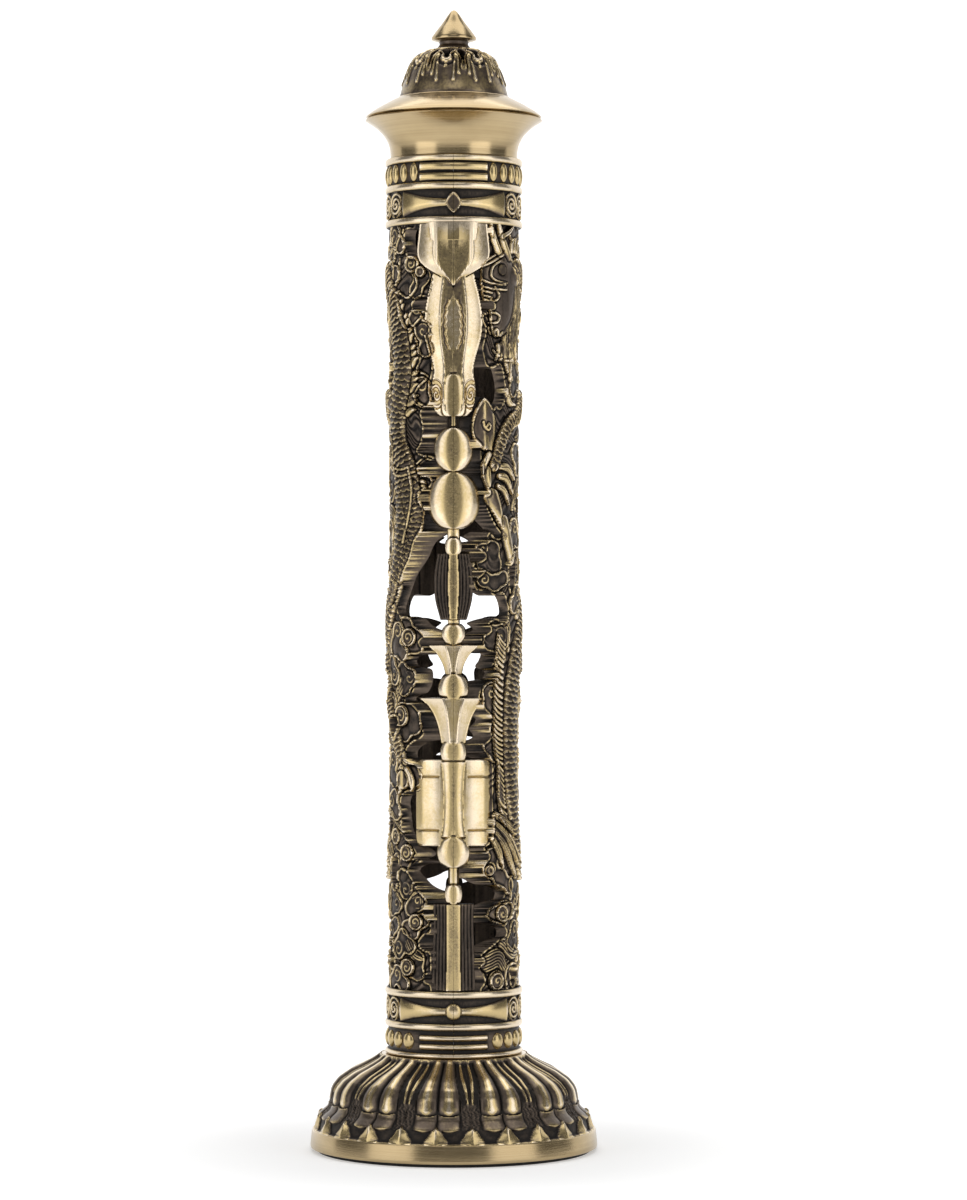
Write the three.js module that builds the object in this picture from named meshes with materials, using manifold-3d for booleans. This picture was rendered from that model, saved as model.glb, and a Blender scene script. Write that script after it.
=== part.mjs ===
// A tower incense burner in cast bronze: a lotus foot, a pierced tube made of two cast halves, a flared
// collar and a domed lid. Millimetres, +Z up, the origin at the centre of the underside, the joint
// between the two tube halves facing -Y and +Y.
import * as THREE from "three";
import { mergeVertices } from "three/addons/utils/BufferGeometryUtils.js";
import Module from "manifold-3d";

const wasm = await Module();
wasm.setup();

// Driving sizes
const MATING_GAP = 0.3; // clearance between pieces that slide into each other
const ROUND_SEGMENTS = 36; // facets of a full turned circle
const SMALL_SEGMENTS = 16; // facets of a screw, a pin or a small bore
const ARC_STEPS = 5; // steps along a curved profile
const THROUGH = 1; // how far a cutting tool runs past the face it cuts

const PAD = { radius: 30, thickness: 0.8 };

const BASE = {
  rimRadius: 31.5,
  rimDraft: 0.3, // the rim leans in by this much at its top
  rimHeight: 3.9,
  rimWall: 4.5,
  height: 20.5, // from the pad to the seat of the tube
  seatRadius: 16.2,
  spigotRadius: 11.0,
  spigotHeight: 7.6,
  spigotWall: 1.9,
  wellDepth: 4.4, // the ash well goes this far below the seat
  floor: 3.0, // thickness under the ash well
  shellWall: 5.0, // least thickness of the petals' casting
  bossRadius: 6.2,
  bossHeight: 8.2, // from the underside of the floor down
  petals: 12, // each of two lobes
  petalTurn: -7, // degrees from the front to the middle of a petal
  ledge: 1.1, // the petals stand back from the rim by this much
  fluteDepth: 1.5,
  middleDepth: 0.45, // the joint of a petal's two lobes is this share as deep as that between petals
  lobeRoundness: 0.7, // exponent of a lobe's section
};
const STEPS_TO_A_PETAL = 8;
// The outline of the foot without its flutes, as shares of the way from the tube's seat out to the
// petals' tips and from the rim's top up to the seat.
const FOOT_OUTLINE = [
  [1, 0], [0.965, 0.1], [0.88, 0.24], [0.8, 0.36], [0.775, 0.5], [0.69, 0.64], [0.507, 0.765], [0.282, 0.87],
  [0.09, 0.95], [0, 1],
];

const HOLDER = {
  flangeRadius: 7.2,
  flangeThickness: 1.6,
  stemRadius: 3.6,
  tipRadius: 2.6,
  tipHeight: 3,
  height: 14.5,
  stickBore: 1.4, // radius of the hole for a 2.5 mm stick
  stickDepth: 9.5,
};

const SCREW = {
  shankRadius: 1.7,
  headRadius: 3.6,
  headHeight: 2.2,
  grip: 3.6, // how far it reaches into the stick holder
  slotWidth: 0.9,
  slotDepth: 0.8,
};

const TUBE = {
  height: 195.8,
  bandHeight: 14.6,
  bandRadius: 15.15,
  bandRecess: 14.35, // radius of the ground that the bands' ornament stands on
  bandBore: 12.5,
  ringHeight: 1.6,
  wallRadius: 14.6, // of the clouds' faces
  groundRadius: 13.9, // of the ground between them
  bore: 12.6,
};

const SLEEVE = { wall: 0.9 };

const PIN = { radius: 0.6, length: 4.0, inset: 3.4 };

const COLLAR = {
  lowerRadius: 14.2,
  lipRadius: 19.4,
  height: 8.9,
  lipLand: 2.6, // width of the flat ring that the lid sits on
  spigotWall: 1.6,
  spigotHeight: 12.0,
  flare: 2.0, // exponent of the trumpet's curve
};

const FLANGE = {
  height: 4.6,
  edge: 0.35, // thickness at the rim
  edgeInset: 0.1, // the rim stands back from the collar's lip by this much
  crown: 1.25, // exponent of the convex top
  bore: 8.4,
  plugDepth: 1.8, // how far it reaches into the collar's mouth
  plugTaper: 1.2,
  seatHeight: 1.5, // of the wall that centres the dome
  seatLand: 0.25, // flat left round the dome's foot
};

const DOME = { radius: 12.1, height: 10.4, wall: 1.6, crownWall: 2.2, leaves: 8 };
// The openings between the dome's leaves: [height above its foot, half width], alternately tall and short.
const DOME_SLOTS = [
  [[1.6, 0.75], [4.7, 1.25], [7.8, 0.4]],
  [[4.2, 0.75], [6.4, 1.25], [8.6, 0.4]],
];

const FINIAL = {
  coneRadius: 5.0,
  coneHeight: 6.8,
  coneEdge: 0.5, // height of the cone's rounded lower edge
  neckRadius: 3.8,
  neckHeight: 2.2,
  shankRadius: 1.6,
  shankLength: 5.6,
};

const NUT = { acrossFlats: 6.4, height: 2.4 };

// Heights that follow from the sizes
const Z_BASE = PAD.thickness;
const Z_SEAT = Z_BASE + BASE.height;
const Z_WELL = Z_SEAT - BASE.wellDepth;
const Z_CEILING = Z_WELL - BASE.floor;
const Z_BOSS = Z_CEILING - BASE.bossHeight;
const Z_LOWER_BAND_TOP = Z_SEAT + TUBE.bandHeight;
const Z_TUBE_TOP = Z_SEAT + TUBE.height;
const Z_UPPER_BAND_FOOT = Z_TUBE_TOP - TUBE.bandHeight;
const Z_LIP = Z_TUBE_TOP + COLLAR.height;
const Z_DOME = Z_LIP + FLANGE.height;
const Z_DOME_TOP = Z_DOME + DOME.height;
const Z_NECK_TOP = Z_DOME_TOP + FINIAL.neckHeight;

// The openwork is written down as it was measured on a tube of these sizes, and drawn between the bands:
// heights from the lower band to the upper one, and widths with the tube's radius.
const OPENWORK = { foot: 35.9, top: 202.5, radius: 14.6 };
const drawn = (z) =>
  THREE.MathUtils.mapLinear(z, OPENWORK.foot, OPENWORK.top, Z_LOWER_BAND_TOP, Z_UPPER_BAND_FOOT);
const wide = (size) => (size * TUBE.wallRadius) / OPENWORK.radius;

// Each half is drawn from its mould straight sideways, so every opening runs along X. An angle is
// measured round the tube from a half's own front edge, 0, to its back edge, 180.
// The cut beside an edge, from the middle ornament to the clouds: [height, angle from the edge].
const FRONT_EDGE_CUT = [
  [201.2, 28], [190, 24], [184, 33], [174, 28], [170, 44], [163.6, 44], [158, 16], [151, 25], [142, 28],
  [135, 44], [131, 20], [124, 18], [118, 56], [113, 32], [105, 40], [99.5, 22], [94, 35], [84, 35],
  [70, 35], [62, 26], [57.5, 50], [52, 29], [48, 52], [42, 25], [37.2, 26],
];
const BACK_EDGE_CUT = [
  [201.2, 40], [196, 48], [189, 20], [184.6, 38], [180, 20], [170, 19], [154, 32], [147, 19],
  [136, 29], [127, 44], [119, 60], [113, 29], [107.5, 47], [104, 36], [99, 48], [92, 28], [87, 47],
  [81, 28], [77, 53], [67, 36], [61.4, 44], [54, 23], [46.2, 31], [42, 20], [37.2, 20],
];
// The openings between the clouds on the flank: [angle, height, half angle, half height, lean in degrees].
const FLANK_OPENINGS = [
  [94, 181.5, 9, 3.8, 10], [103, 171, 8, 3.4, -10], [107, 153.6, 10, 2.6, 0], [84, 142, 8, 4.4, 25],
  [67, 127, 7, 4.2, 10], [97, 127, 8, 2.8, -20], [94, 102, 8, 3.6, -30], [88, 87, 8, 4.4, 20],
  [98, 71, 8, 4, 25], [114, 61.5, 7, 3.6, 0], [89, 52, 9, 3.6, -15], [104, 43, 9, 3.2, 15],
];
const OPENING_POINTS = 6;

// The masses of cloud, each a flattened swelling: [angle, height, half width, half height].
const CLOUDS = [
  [144, 190.4, 2.8, 4], [82, 200, 5, 2.6], [118, 199, 3, 2.8], [77, 185, 2.6, 3.2], [151, 178.6, 2.4, 4.6],
  [82, 174.6, 2.8, 4.4], [72, 168.6, 3, 3.8], [151, 165, 2.6, 3.2], [79, 151.6, 3.8, 3], [106, 146, 3, 3.2],
  [98, 134.2, 3.6, 3.4], [69, 134.6, 3.6, 3.2], [33, 130, 3.4, 3.6], [40, 124.8, 4, 2.4],
  [78, 120.6, 3.8, 3], [42, 111.2, 3.6, 4], [139, 112.2, 3.8, 4.4], [118, 111, 3, 4], [133, 103.4, 2.8, 3.6],
  [111, 105, 2.8, 3.2], [37, 98, 2.6, 4.2], [39, 89.8, 2.4, 4.6], [134, 94.4, 4.4, 3.8],
  [134, 82.4, 4.2, 3.8], [109, 83.2, 3.2, 3.6], [114, 76, 3.2, 3], [131, 66, 4, 3.6], [88, 64.8, 3.2, 3],
  [44, 61.4, 4.2, 3.8],
  [133, 59, 3.2, 3.6], [143, 52, 3.4, 4.4], [111, 54.8, 3.2, 3.6], [70, 57.2, 3, 3.8], [48, 52.4, 4.4, 2.6],
  [71, 46.8, 3.6, 3.4], [86, 39.4, 3.6, 3.6], [141, 41, 3.8, 3.6], [128, 45.8, 3.8, 3.2], [119, 38, 4.2, 3],
  [39, 41, 3.6, 4.4],
];

const CLOUD_ROWS = 3; // rows of facets over a cloud

// The dragon's limbs, each a ridge along [angle, height, half width].
const DRAGON = {
  root: 1.1, // the limbs are rooted this far below the clouds' faces
  rise: 0.55, // how far a limb stands out, as a share of its half width
  body: [
    [64, 190.6, 2.5], [77, 192.6, 2.6], [94, 190.6, 2.7], [111, 184.6, 2.8], [124, 177.4, 3], [127, 169, 3.1],
    [119, 161, 3.1], [120, 154.6, 3.2], [130, 148.2, 3.7], [134, 141.6, 4.1], [131, 134.6, 3.6],
    [123, 127.6, 3.1], [109, 121, 2.9], [92, 115, 2.9], [75, 108.4, 2.9], [64, 100.6, 2.9], [61, 92, 2.8],
    [61, 83, 2.7], [66, 74.6, 2.4], [73, 67.6, 1.8], [79, 62.4, 1.1],
  ],
  legs: [
    [[108, 163.5, 1.9], [94, 165, 1.8], [77, 160.6, 1.7], [61, 159.2, 1.6], [49, 156, 1.5], [38, 149.6, 1.3]],
    [[86, 109, 2.2], [100, 99.4, 1.9], [112, 94.2, 1.7], [123, 88.4, 1.5], [132, 84.6, 1.2]],
    [[140, 144, 2.6], [144, 136.4, 2], [136, 128.6, 1.6], [120, 124, 1.3]],
  ],
  // The leaf under the chin, the talons' blades, the mane, the fin and the tail's feathers.
  blades: [
    [[28, 153.4, 2.2], [27, 158, 2.9], [27, 163.6, 0.6]],
    [[35, 142.8, 1.9], [42, 139.8, 1.3], [48, 135.6, 0.5]],
    [[49, 138, 1], [57, 132.4, 1.2], [66, 124.8, 0.5]],
    [[66, 189, 1.8], [62, 180, 2.2], [58, 170, 0.7]],
    [[47, 110, 1.4], [45, 96, 1.8], [48, 84, 1.4]],
    [[38, 71.4, 2.2], [58, 66.6, 2.6], [84, 60.4, 0.6]],
  ],
  // The head in profile, as swellings: [angle, height, half width, half height].
  head: [[48, 188.6, 5.2, 6.6], [34, 188, 2.6, 4.4], [47, 180.4, 3.6, 3.4]],
  headRise: 0.85, // as a share of the way from the ground to the bands' rings
};

// The ornament on the joint, one turned form below the other. A row is [height, half width], and relief
// is a form's depth as a share of its half width.
const ORNAMENT = [
  { name: "bracket", relief: 0.26, rows: [[202.5, 7.4], [198.4, 7.4], [193.6, 4.2], [190.4, 4.4]] },
  { name: "baluster", relief: 0.3, rows: [[185, 5.9], [180, 6.2], [173, 4.9], [169.9, 4.2]] },
  { name: "scroll", relief: 0.4, rows: [[167.2, 4.8], [163.4, 4.5], [161.2, 3]] },
  { name: "neck", relief: 1, rows: [[160.8, 1.2], [158.2, 1.2]] },
  { name: "upper ball", relief: 0.5, rows: [[157.2, 2.3], [153, 4.2], [149.2, 2.6]] },
  { name: "great ball", relief: 0.36, rows: [[147.6, 3], [144, 5.6], [139.8, 5.5], [136.2, 2.4]] },
  { name: "bead", relief: 1, rows: [[132, 1.7]] },
  { name: "fluted column", relief: 0.42, rows: [[130.4, 3.7], [124, 4.1], [116.3, 2.6]] },
  { name: "knop", relief: 0.8, rows: [[114.6, 2.3], [111.4, 2.2]] },
  { name: "small bell", relief: 0.38, rows: [[110.5, 5.4], [107.5, 3.3], [104.9, 1.8]] },
  { name: "middle ball", relief: 0.6, rows: [[101.7, 3.4], [99.8, 2.6]] },
  { name: "large bell", relief: 0.28, rows: [[99.1, 7.4], [95.8, 5], [90, 2.6]] },
  { name: "lower knop", relief: 0.7, rows: [[87.4, 2.9], [85.9, 2.4]] },
  { name: "panel", relief: 0.2, rows: [[85.2, 7.9], [67, 7.9]] },
  { name: "lower ball", relief: 0.6, rows: [[66.4, 3.6], [63.2, 1.3]] },
  { name: "lower bead", relief: 1, rows: [[58.6, 1.2], [56.6, 1.85], [54.9, 1.2]] },
  { name: "lower column", relief: 0.42, rows: [[54.6, 4.5], [35.7, 4.6]] },
];
const ORNAMENT_SEAT = TUBE.wallRadius - 1.5; // radius of the edge of a form
const ORNAMENT_BACK = TUBE.bore + 0.15; // radius of its back, just outside the bore
const ORNAMENT_DEPTH = TUBE.bandRadius - ORNAMENT_SEAT; // no form stands out further than this
const ORNAMENT_SECTION = [0, 30, 60]; // degrees of the points round a form's section

const rad = (degrees) => (degrees * Math.PI) / 180;
const degrees = (radians) => (radians * 180) / Math.PI;

// Solids

/** A closed solid from a geometry, whichever way its faces point. */
function solid(geometry) {
  const loose = geometry.index ? geometry.toNonIndexed() : geometry.clone();
  loose.deleteAttribute("normal");
  loose.deleteAttribute("uv");
  const merged = mergeVertices(loose, 1e-4);
  const index = merged.index.array;
  const faces = [];
  for (let i = 0; i < index.length; i += 3) {
    const [a, b, c] = [index[i], index[i + 1], index[i + 2]];
    if (a !== b && b !== c && c !== a) faces.push([a, b, c]);
  }
  const build = (list) =>
    new wasm.Manifold(
      new wasm.Mesh({
        numProp: 3,
        vertProperties: Float32Array.from(merged.attributes.position.array),
        triVerts: Uint32Array.from(list.flat()),
      }),
    );
  const made = build(faces);
  return made.volume() >= 0 ? made : build(faces.map(([a, b, c]) => [a, c, b]));
}

/** The solids joined into one. */
const join = (...solids) => solids.flat().reduce((sum, next) => sum.add(next));

/** The three.js geometry of a solid. */
function geometryOf(body) {
  const { vertProperties, triVerts } = body.getMesh();
  const geometry = new THREE.BufferGeometry();
  geometry.setAttribute("position", new THREE.BufferAttribute(Float32Array.from(vertProperties), 3));
  geometry.setIndex(Array.from(triVerts));
  geometry.computeVertexNormals();
  return geometry;
}

/** A closed profile of [radius, height] points turned about the Z axis. */
function turned(profile, segments = ROUND_SEGMENTS) {
  const closed = [...profile, profile[0]].map(([r, z]) => new THREE.Vector2(r, z));
  return solid(new THREE.LatheGeometry(closed, segments).rotateX(Math.PI / 2));
}

/** A turned piece with a flat top and foot. */
const disc = (radius, from, to, segments) =>
  turned([[0, from], [radius, from], [radius, to], [0, to]], segments);

/** A tube with square ends. */
const ring = (inner, outer, from, to) => turned([[inner, from], [outer, from], [outer, to], [inner, to]]);

/** A short rod along X. */
function rodAlongX(radius, length, y, z) {
  const rod = new THREE.CylinderGeometry(radius, radius, length, SMALL_SEGMENTS).rotateZ(Math.PI / 2);
  return solid(rod.translate(0, y, z));
}

/** A closed outline of [a, b] points, pushed out by depth. */
function prism(outline, depth) {
  const shape = new THREE.Shape(outline.map(([a, b]) => new THREE.Vector2(a, b)));
  return new THREE.ExtrudeGeometry(shape, { depth, bevelEnabled: false });
}

/** A prism whose outline lies in the YZ plane, from x = from to x = to. */
function prismAlongX(outline, from, to) {
  const turn = new THREE.Matrix4().set(0, 0, 1, from, 1, 0, 0, 0, 0, 1, 0, 0, 0, 0, 0, 1);
  return solid(prism(outline, to - from).applyMatrix4(turn));
}

/** A prism whose outline lies in the XZ plane, from y = -from to y = -to. */
function prismFromFront(outline, from, to) {
  const turn = new THREE.Matrix4().set(1, 0, 0, 0, 0, 0, -1, -from, 0, 1, 0, 0, 0, 0, 0, 1);
  return solid(prism(outline, to - from).applyMatrix4(turn));
}

/** The point on the tube at an angle from a half's front edge. */
const onTube = (angle, radius, z) =>
  new THREE.Vector3(radius * Math.sin(rad(angle)), -radius * Math.cos(rad(angle)), z);

/** A skin through rings of points, closed by a fan at both ends. */
function loft(rings) {
  const n = rings[0].length;
  const faces = [];
  for (let i = 0; i + 1 < rings.length; i++)
    for (let k = 0; k < n; k++) {
      const [a, b] = [i * n + k, i * n + ((k + 1) % n)];
      faces.push(a, b, b + n, a, b + n, a + n);
    }
  const last = (rings.length - 1) * n;
  for (let k = 1; k + 1 < n; k++) faces.push(0, k + 1, k, last, last + k, last + k + 1);
  const geometry = new THREE.BufferGeometry().setFromPoints(rings.flat());
  geometry.setIndex(faces);
  return solid(geometry);
}

/** The mirror image of a solid, from a half's front edge to its back edge. */
const toBackEdge = (body) => body.mirror([0, 1, 0]);

// Foot

/** The outer radius of the lotus foot without its flutes, at a height above the pad. */
function footRadius(height) {
  const share = (height - BASE.rimHeight) / (BASE.height - BASE.rimHeight);
  const above = Math.max(1, FOOT_OUTLINE.findIndex(([, up]) => up >= share));
  const [[out0, up0], [out1, up1]] = FOOT_OUTLINE.slice(above - 1, above + 1);
  const out = THREE.MathUtils.mapLinear(share, up0, up1, out0, out1);
  return THREE.MathUtils.lerp(BASE.seatRadius, BASE.rimRadius - BASE.ledge, out);
}

/** How far the skin sinks, from 0 on a lobe to 1 in the joint between petals. A petal has two lobes. */
function fluteSink(turn) {
  const fromMiddle = THREE.MathUtils.euclideanModulo((turn * BASE.petals) / 360 + 0.5, 1) - 0.5;
  const lobe = Math.abs(Math.sin(2 * Math.PI * fromMiddle));
  const betweenPetals = Math.abs(fromMiddle) > 0.25;
  return (1 - Math.pow(lobe, BASE.lobeRoundness)) * (betweenPetals ? 1 : BASE.middleDepth);
}

/** The petals' skin, from the rim's top to the seat of the tube. */
function petals() {
  const steps = BASE.petals * STEPS_TO_A_PETAL;
  const rings = FOOT_OUTLINE.map(([, up]) => {
    const height = THREE.MathUtils.lerp(BASE.rimHeight, BASE.height, up);
    const fade = Math.pow(Math.sin(Math.PI * THREE.MathUtils.clamp(up, 0, 1)), 0.5);
    return Array.from({ length: steps }, (_, i) => {
      const turn = (360 * i) / steps;
      const sink = BASE.fluteDepth * fade * fluteSink(turn - BASE.petalTurn);
      return onTube(turn, footRadius(height) - sink, Z_BASE + height);
    });
  });
  return loft(rings);
}

function lotusBase() {
  const { rimRadius, rimDraft, rimHeight, rimWall, spigotRadius, spigotHeight, shellWall } = BASE;
  const wellRadius = spigotRadius - BASE.spigotWall;
  const rimTop = Z_BASE + rimHeight;
  const rim = turned([[0, Z_BASE], [rimRadius, Z_BASE], [rimRadius - rimDraft, rimTop], [0, rimTop]]);
  const spigot = disc(spigotRadius, Z_SEAT - THROUGH, Z_SEAT + spigotHeight);
  const well = disc(wellRadius, Z_WELL, Z_SEAT + spigotHeight + THROUGH);
  const hollow = turned([
    [0, Z_BASE - THROUGH],
    [rimRadius - rimWall, Z_BASE - THROUGH],
    [rimRadius - rimWall, rimTop],
    [footRadius(Z_CEILING - Z_BASE) - shellWall, Z_CEILING],
    [0, Z_CEILING],
  ]);
  const boss = disc(BASE.bossRadius, Z_BOSS, Z_CEILING + THROUGH);
  const screwHole = disc(SCREW.shankRadius + MATING_GAP, Z_BASE, Z_WELL + THROUGH, SMALL_SEGMENTS);
  return join(petals(), rim, spigot).subtract(hollow).add(boss).subtract(well).subtract(screwHole);
}

function stickHolder() {
  const { flangeRadius, flangeThickness, stemRadius, tipRadius, tipHeight } = HOLDER;
  const top = Z_WELL + HOLDER.height;
  const body = turned([
    [0, Z_WELL],
    [flangeRadius, Z_WELL],
    [flangeRadius, Z_WELL + flangeThickness],
    [stemRadius, Z_WELL + flangeThickness],
    [stemRadius, top - tipHeight],
    [tipRadius, top],
    [0, top],
  ], 2 * SMALL_SEGMENTS);
  const stickHole = disc(HOLDER.stickBore, top - HOLDER.stickDepth, top + THROUGH, SMALL_SEGMENTS);
  const tapped = disc(SCREW.shankRadius + MATING_GAP, Z_WELL - THROUGH, Z_WELL + SCREW.grip, SMALL_SEGMENTS);
  return body.subtract(stickHole).subtract(tapped);
}

function holderScrew() {
  const { shankRadius, headRadius, headHeight, grip, slotWidth, slotDepth } = SCREW;
  const foot = Z_BOSS - headHeight;
  const profile = [
    [0, foot],
    [headRadius, foot],
    [headRadius, Z_BOSS],
    [shankRadius, Z_BOSS],
    [shankRadius, Z_WELL + grip - MATING_GAP],
    [0, Z_WELL + grip - MATING_GAP],
  ];
  const slot = new THREE.BoxGeometry(3 * headRadius, slotWidth, 2 * slotDepth).translate(0, 0, foot);
  return turned(profile, SMALL_SEGMENTS).subtract(solid(slot));
}

// Tube

/** A band's turned body: three raised rings with two sunk registers between them. */
function bandBody(foot) {
  const { bandRadius, bandRecess, bandBore, bandHeight, ringHeight } = TUBE;
  const step = (bandHeight - ringHeight) / 2;
  const outer = [0, 1, 2].flatMap((k) => {
    const z = foot + k * step;
    return [[bandRecess, z], [bandRadius, z], [bandRadius, z + ringHeight], [bandRecess, z + ringHeight]];
  });
  return turned([[bandBore, foot], ...outer.slice(1, -1), [bandBore, foot + bandHeight]]);
}

/** A flattened ball that stands out of a ground at the given radius, in the openwork's own heights. */
function swelling([angle, z, halfWidth, halfHeight], rise, ground, rows = 4) {
  const ball = new THREE.SphereGeometry(1, rows + 2, rows).rotateX(Math.PI / 2);
  ball.scale(wide(halfWidth), 2 * rise, halfHeight).rotateZ(rad(angle));
  ball.translate(...onTube(angle, ground - rise, drawn(z)).toArray());
  return solid(ball);
}

/** The cut beside one edge, down to the clouds. side is 1 at the front edge and -1 at the back edge. */
function edgeCut(outline, side) {
  const line = outline.map(([z, angle]) => [-side * TUBE.wallRadius * Math.cos(rad(angle)), drawn(z)]);
  const outside = -side * (TUBE.bandRadius + THROUGH);
  const closed = [[outside, line[0][1]], ...line, [outside, line.at(-1)[1]]];
  return prismAlongX(closed, -THROUGH, 2 * TUBE.bandRadius);
}

/** One opening on the flank, an oval that leans. */
function flankOpening([angle, z, halfAngle, halfHeight, lean]) {
  const outline = Array.from({ length: OPENING_POINTS }, (_, i) => {
    const turn = (2 * Math.PI * i) / OPENING_POINTS;
    const across = halfAngle * Math.cos(turn);
    const rise = wide(halfHeight) * Math.sin(turn) + rad(across) * TUBE.wallRadius * Math.tan(rad(lean));
    return [-TUBE.wallRadius * Math.cos(rad(angle + across)), drawn(z) + rise];
  });
  return prismAlongX(outline, THROUGH, 2 * TUBE.bandRadius);
}

/** A limb of the dragon: a rounded ridge along a path on the tube. */
function limb(path, sides = 5) {
  const seat = TUBE.wallRadius - DRAGON.root;
  const curve = new THREE.CatmullRomCurve3(path.map(([a, z, w]) => new THREE.Vector3(a, drawn(z), wide(w))));
  const spots = curve.getPoints(path.length);
  const places = spots.map(({ x, y }) => onTube(x, seat, y));
  const rings = spots.map(({ x, z: half }, i) => {
    const [behind, ahead] = [places[Math.max(0, i - 1)], places[Math.min(i + 1, path.length)]];
    const out = onTube(x, 1, 0);
    const across = new THREE.Vector3().crossVectors(ahead.clone().sub(behind), out).normalize();
    return Array.from({ length: sides }, (_, k) => {
      const turn = (2 * Math.PI * k) / sides;
      return places[i]
        .clone()
        .addScaledVector(across, half * Math.cos(turn))
        .addScaledVector(out, half * DRAGON.rise * Math.sin(turn));
    });
  });
  return loft(rings);
}

function dragon() {
  const { body, legs, blades, head, headRise } = DRAGON;
  const rise = (TUBE.bandRadius - TUBE.groundRadius) * headRise;
  const swellings = head.map((place) => swelling(place, rise, TUBE.groundRadius));
  return join([body, ...legs].map((path) => limb(path)), blades.map((path) => limb(path, 4)), swellings);
}

/** The masses of cloud between the openings. */
function clouds() {
  const rise = TUBE.wallRadius - TUBE.groundRadius;
  return join(CLOUDS.map((place) => swelling(place, rise, TUBE.groundRadius, CLOUD_ROWS)));
}

/** One half of the ornament on the joint: rounded sections laid on the tube, from the top down. */
function ornament() {
  const past = -THROUGH / 2;
  const section = (z, half, depth) => {
    const place = (x, radius) => onTube(degrees(Math.asin(x / ORNAMENT_SEAT)), radius, drawn(z));
    const front = ORNAMENT_SECTION.map((t) =>
      place(half * Math.cos(rad(t)), ORNAMENT_SEAT + depth * Math.sin(rad(t))),
    );
    const back = [place(past, ORNAMENT_BACK), place(half, ORNAMENT_BACK)];
    return [...back, ...front, place(past, ORNAMENT_SEAT + depth)];
  };
  const rings = ORNAMENT.flatMap(({ relief, rows }) =>
    rows.map(([z, half]) => section(z, wide(half), Math.min(ORNAMENT_DEPTH, relief * wide(half)))),
  );
  return loft(rings);
}

/** Where the locating pins cross the joint: [y, z]. */
function pinPlaces() {
  const y = (TUBE.bandBore + TUBE.bandRecess) / 2;
  return [Z_SEAT + PIN.inset, Z_TUBE_TOP - PIN.inset].flatMap((z) => [[-y, z], [y, z]]);
}

/** One cast half, its front edge on -Y and its flank on +X. The other is the same casting turned round. */
function tubeHalf() {
  const { bore: wallBore, groundRadius } = TUBE;
  const [foot, top] = [Z_LOWER_BAND_TOP - THROUGH / 2, Z_UPPER_BAND_FOOT + THROUGH / 2];
  const masses = clouds().subtract(disc(wallBore, foot, top));
  const wall = ring(wallBore, groundRadius, foot, top).add(masses);
  const cuts = [edgeCut(FRONT_EDGE_CUT, 1), edgeCut(BACK_EDGE_CUT, -1), ...FLANK_OPENINGS.map(flankOpening)];
  const middle = ornament();
  const bands = [Z_SEAT, Z_UPPER_BAND_FOOT].map(bandBody);
  const whole = join(wall.subtract(join(cuts)), dragon(), middle, toBackEdge(middle), bands);
  const bore = disc(TUBE.bandBore, Z_SEAT - THROUGH, Z_TUBE_TOP + THROUGH);
  const side = new THREE.BoxGeometry(2 * TUBE.bandRadius, 4 * TUBE.bandRadius, 2 * Z_TUBE_TOP);
  const half = whole.intersect(solid(side.translate(TUBE.bandRadius, 0, Z_TUBE_TOP)));
  const pinHoles = pinPlaces().map(([y, z]) =>
    rodAlongX(PIN.radius + MATING_GAP, PIN.length + 2 * MATING_GAP, y, z),
  );
  return half.subtract(bore).subtract(join(pinHoles));
}

function lowerSleeve() {
  const outer = TUBE.bandBore - MATING_GAP;
  return ring(outer - SLEEVE.wall, outer, Z_SEAT, Z_LOWER_BAND_TOP - MATING_GAP);
}

// Collar and lid

function flaredCollar() {
  const { lowerRadius, lipRadius, height, lipLand, flare } = COLLAR;
  const spigotOuter = TUBE.bandBore - MATING_GAP;
  const spigotInner = spigotOuter - COLLAR.spigotWall;
  const spigotFoot = Z_TUBE_TOP - COLLAR.spigotHeight;
  const trumpet = (from, to) =>
    Array.from({ length: ARC_STEPS + 1 }, (_, i) => [
      THREE.MathUtils.lerp(from, to, Math.pow(i / ARC_STEPS, flare)),
      Z_TUBE_TOP + (height * i) / ARC_STEPS,
    ]);
  return turned([
    [spigotInner, spigotFoot],
    [spigotOuter, spigotFoot],
    [spigotOuter, Z_TUBE_TOP],
    ...trumpet(lowerRadius, lipRadius),
    ...trumpet(spigotInner, lipRadius - lipLand).reverse(),
  ]);
}

function lidFlange() {
  const { height, edge, edgeInset, crown, bore, plugDepth, plugTaper, seatHeight, seatLand } = FLANGE;
  const rim = COLLAR.lipRadius - edgeInset;
  const plug = COLLAR.lipRadius - COLLAR.lipLand - plugTaper - MATING_GAP;
  const shoulder = DOME.radius + seatLand;
  const seat = DOME.radius - DOME.wall - MATING_GAP;
  const top = Array.from({ length: ARC_STEPS + 1 }, (_, i) => [
    THREE.MathUtils.lerp(rim, shoulder, i / ARC_STEPS),
    Z_LIP + edge + (height - edge) * (1 - Math.pow(1 - i / ARC_STEPS, crown)),
  ]);
  return turned([
    [bore, Z_LIP - plugDepth],
    [plug - plugTaper, Z_LIP - plugDepth],
    [plug, Z_LIP],
    [rim, Z_LIP],
    ...top,
    [seat, Z_DOME],
    [seat, Z_DOME + seatHeight],
    [bore, Z_DOME + seatHeight],
  ]);
}

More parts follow.
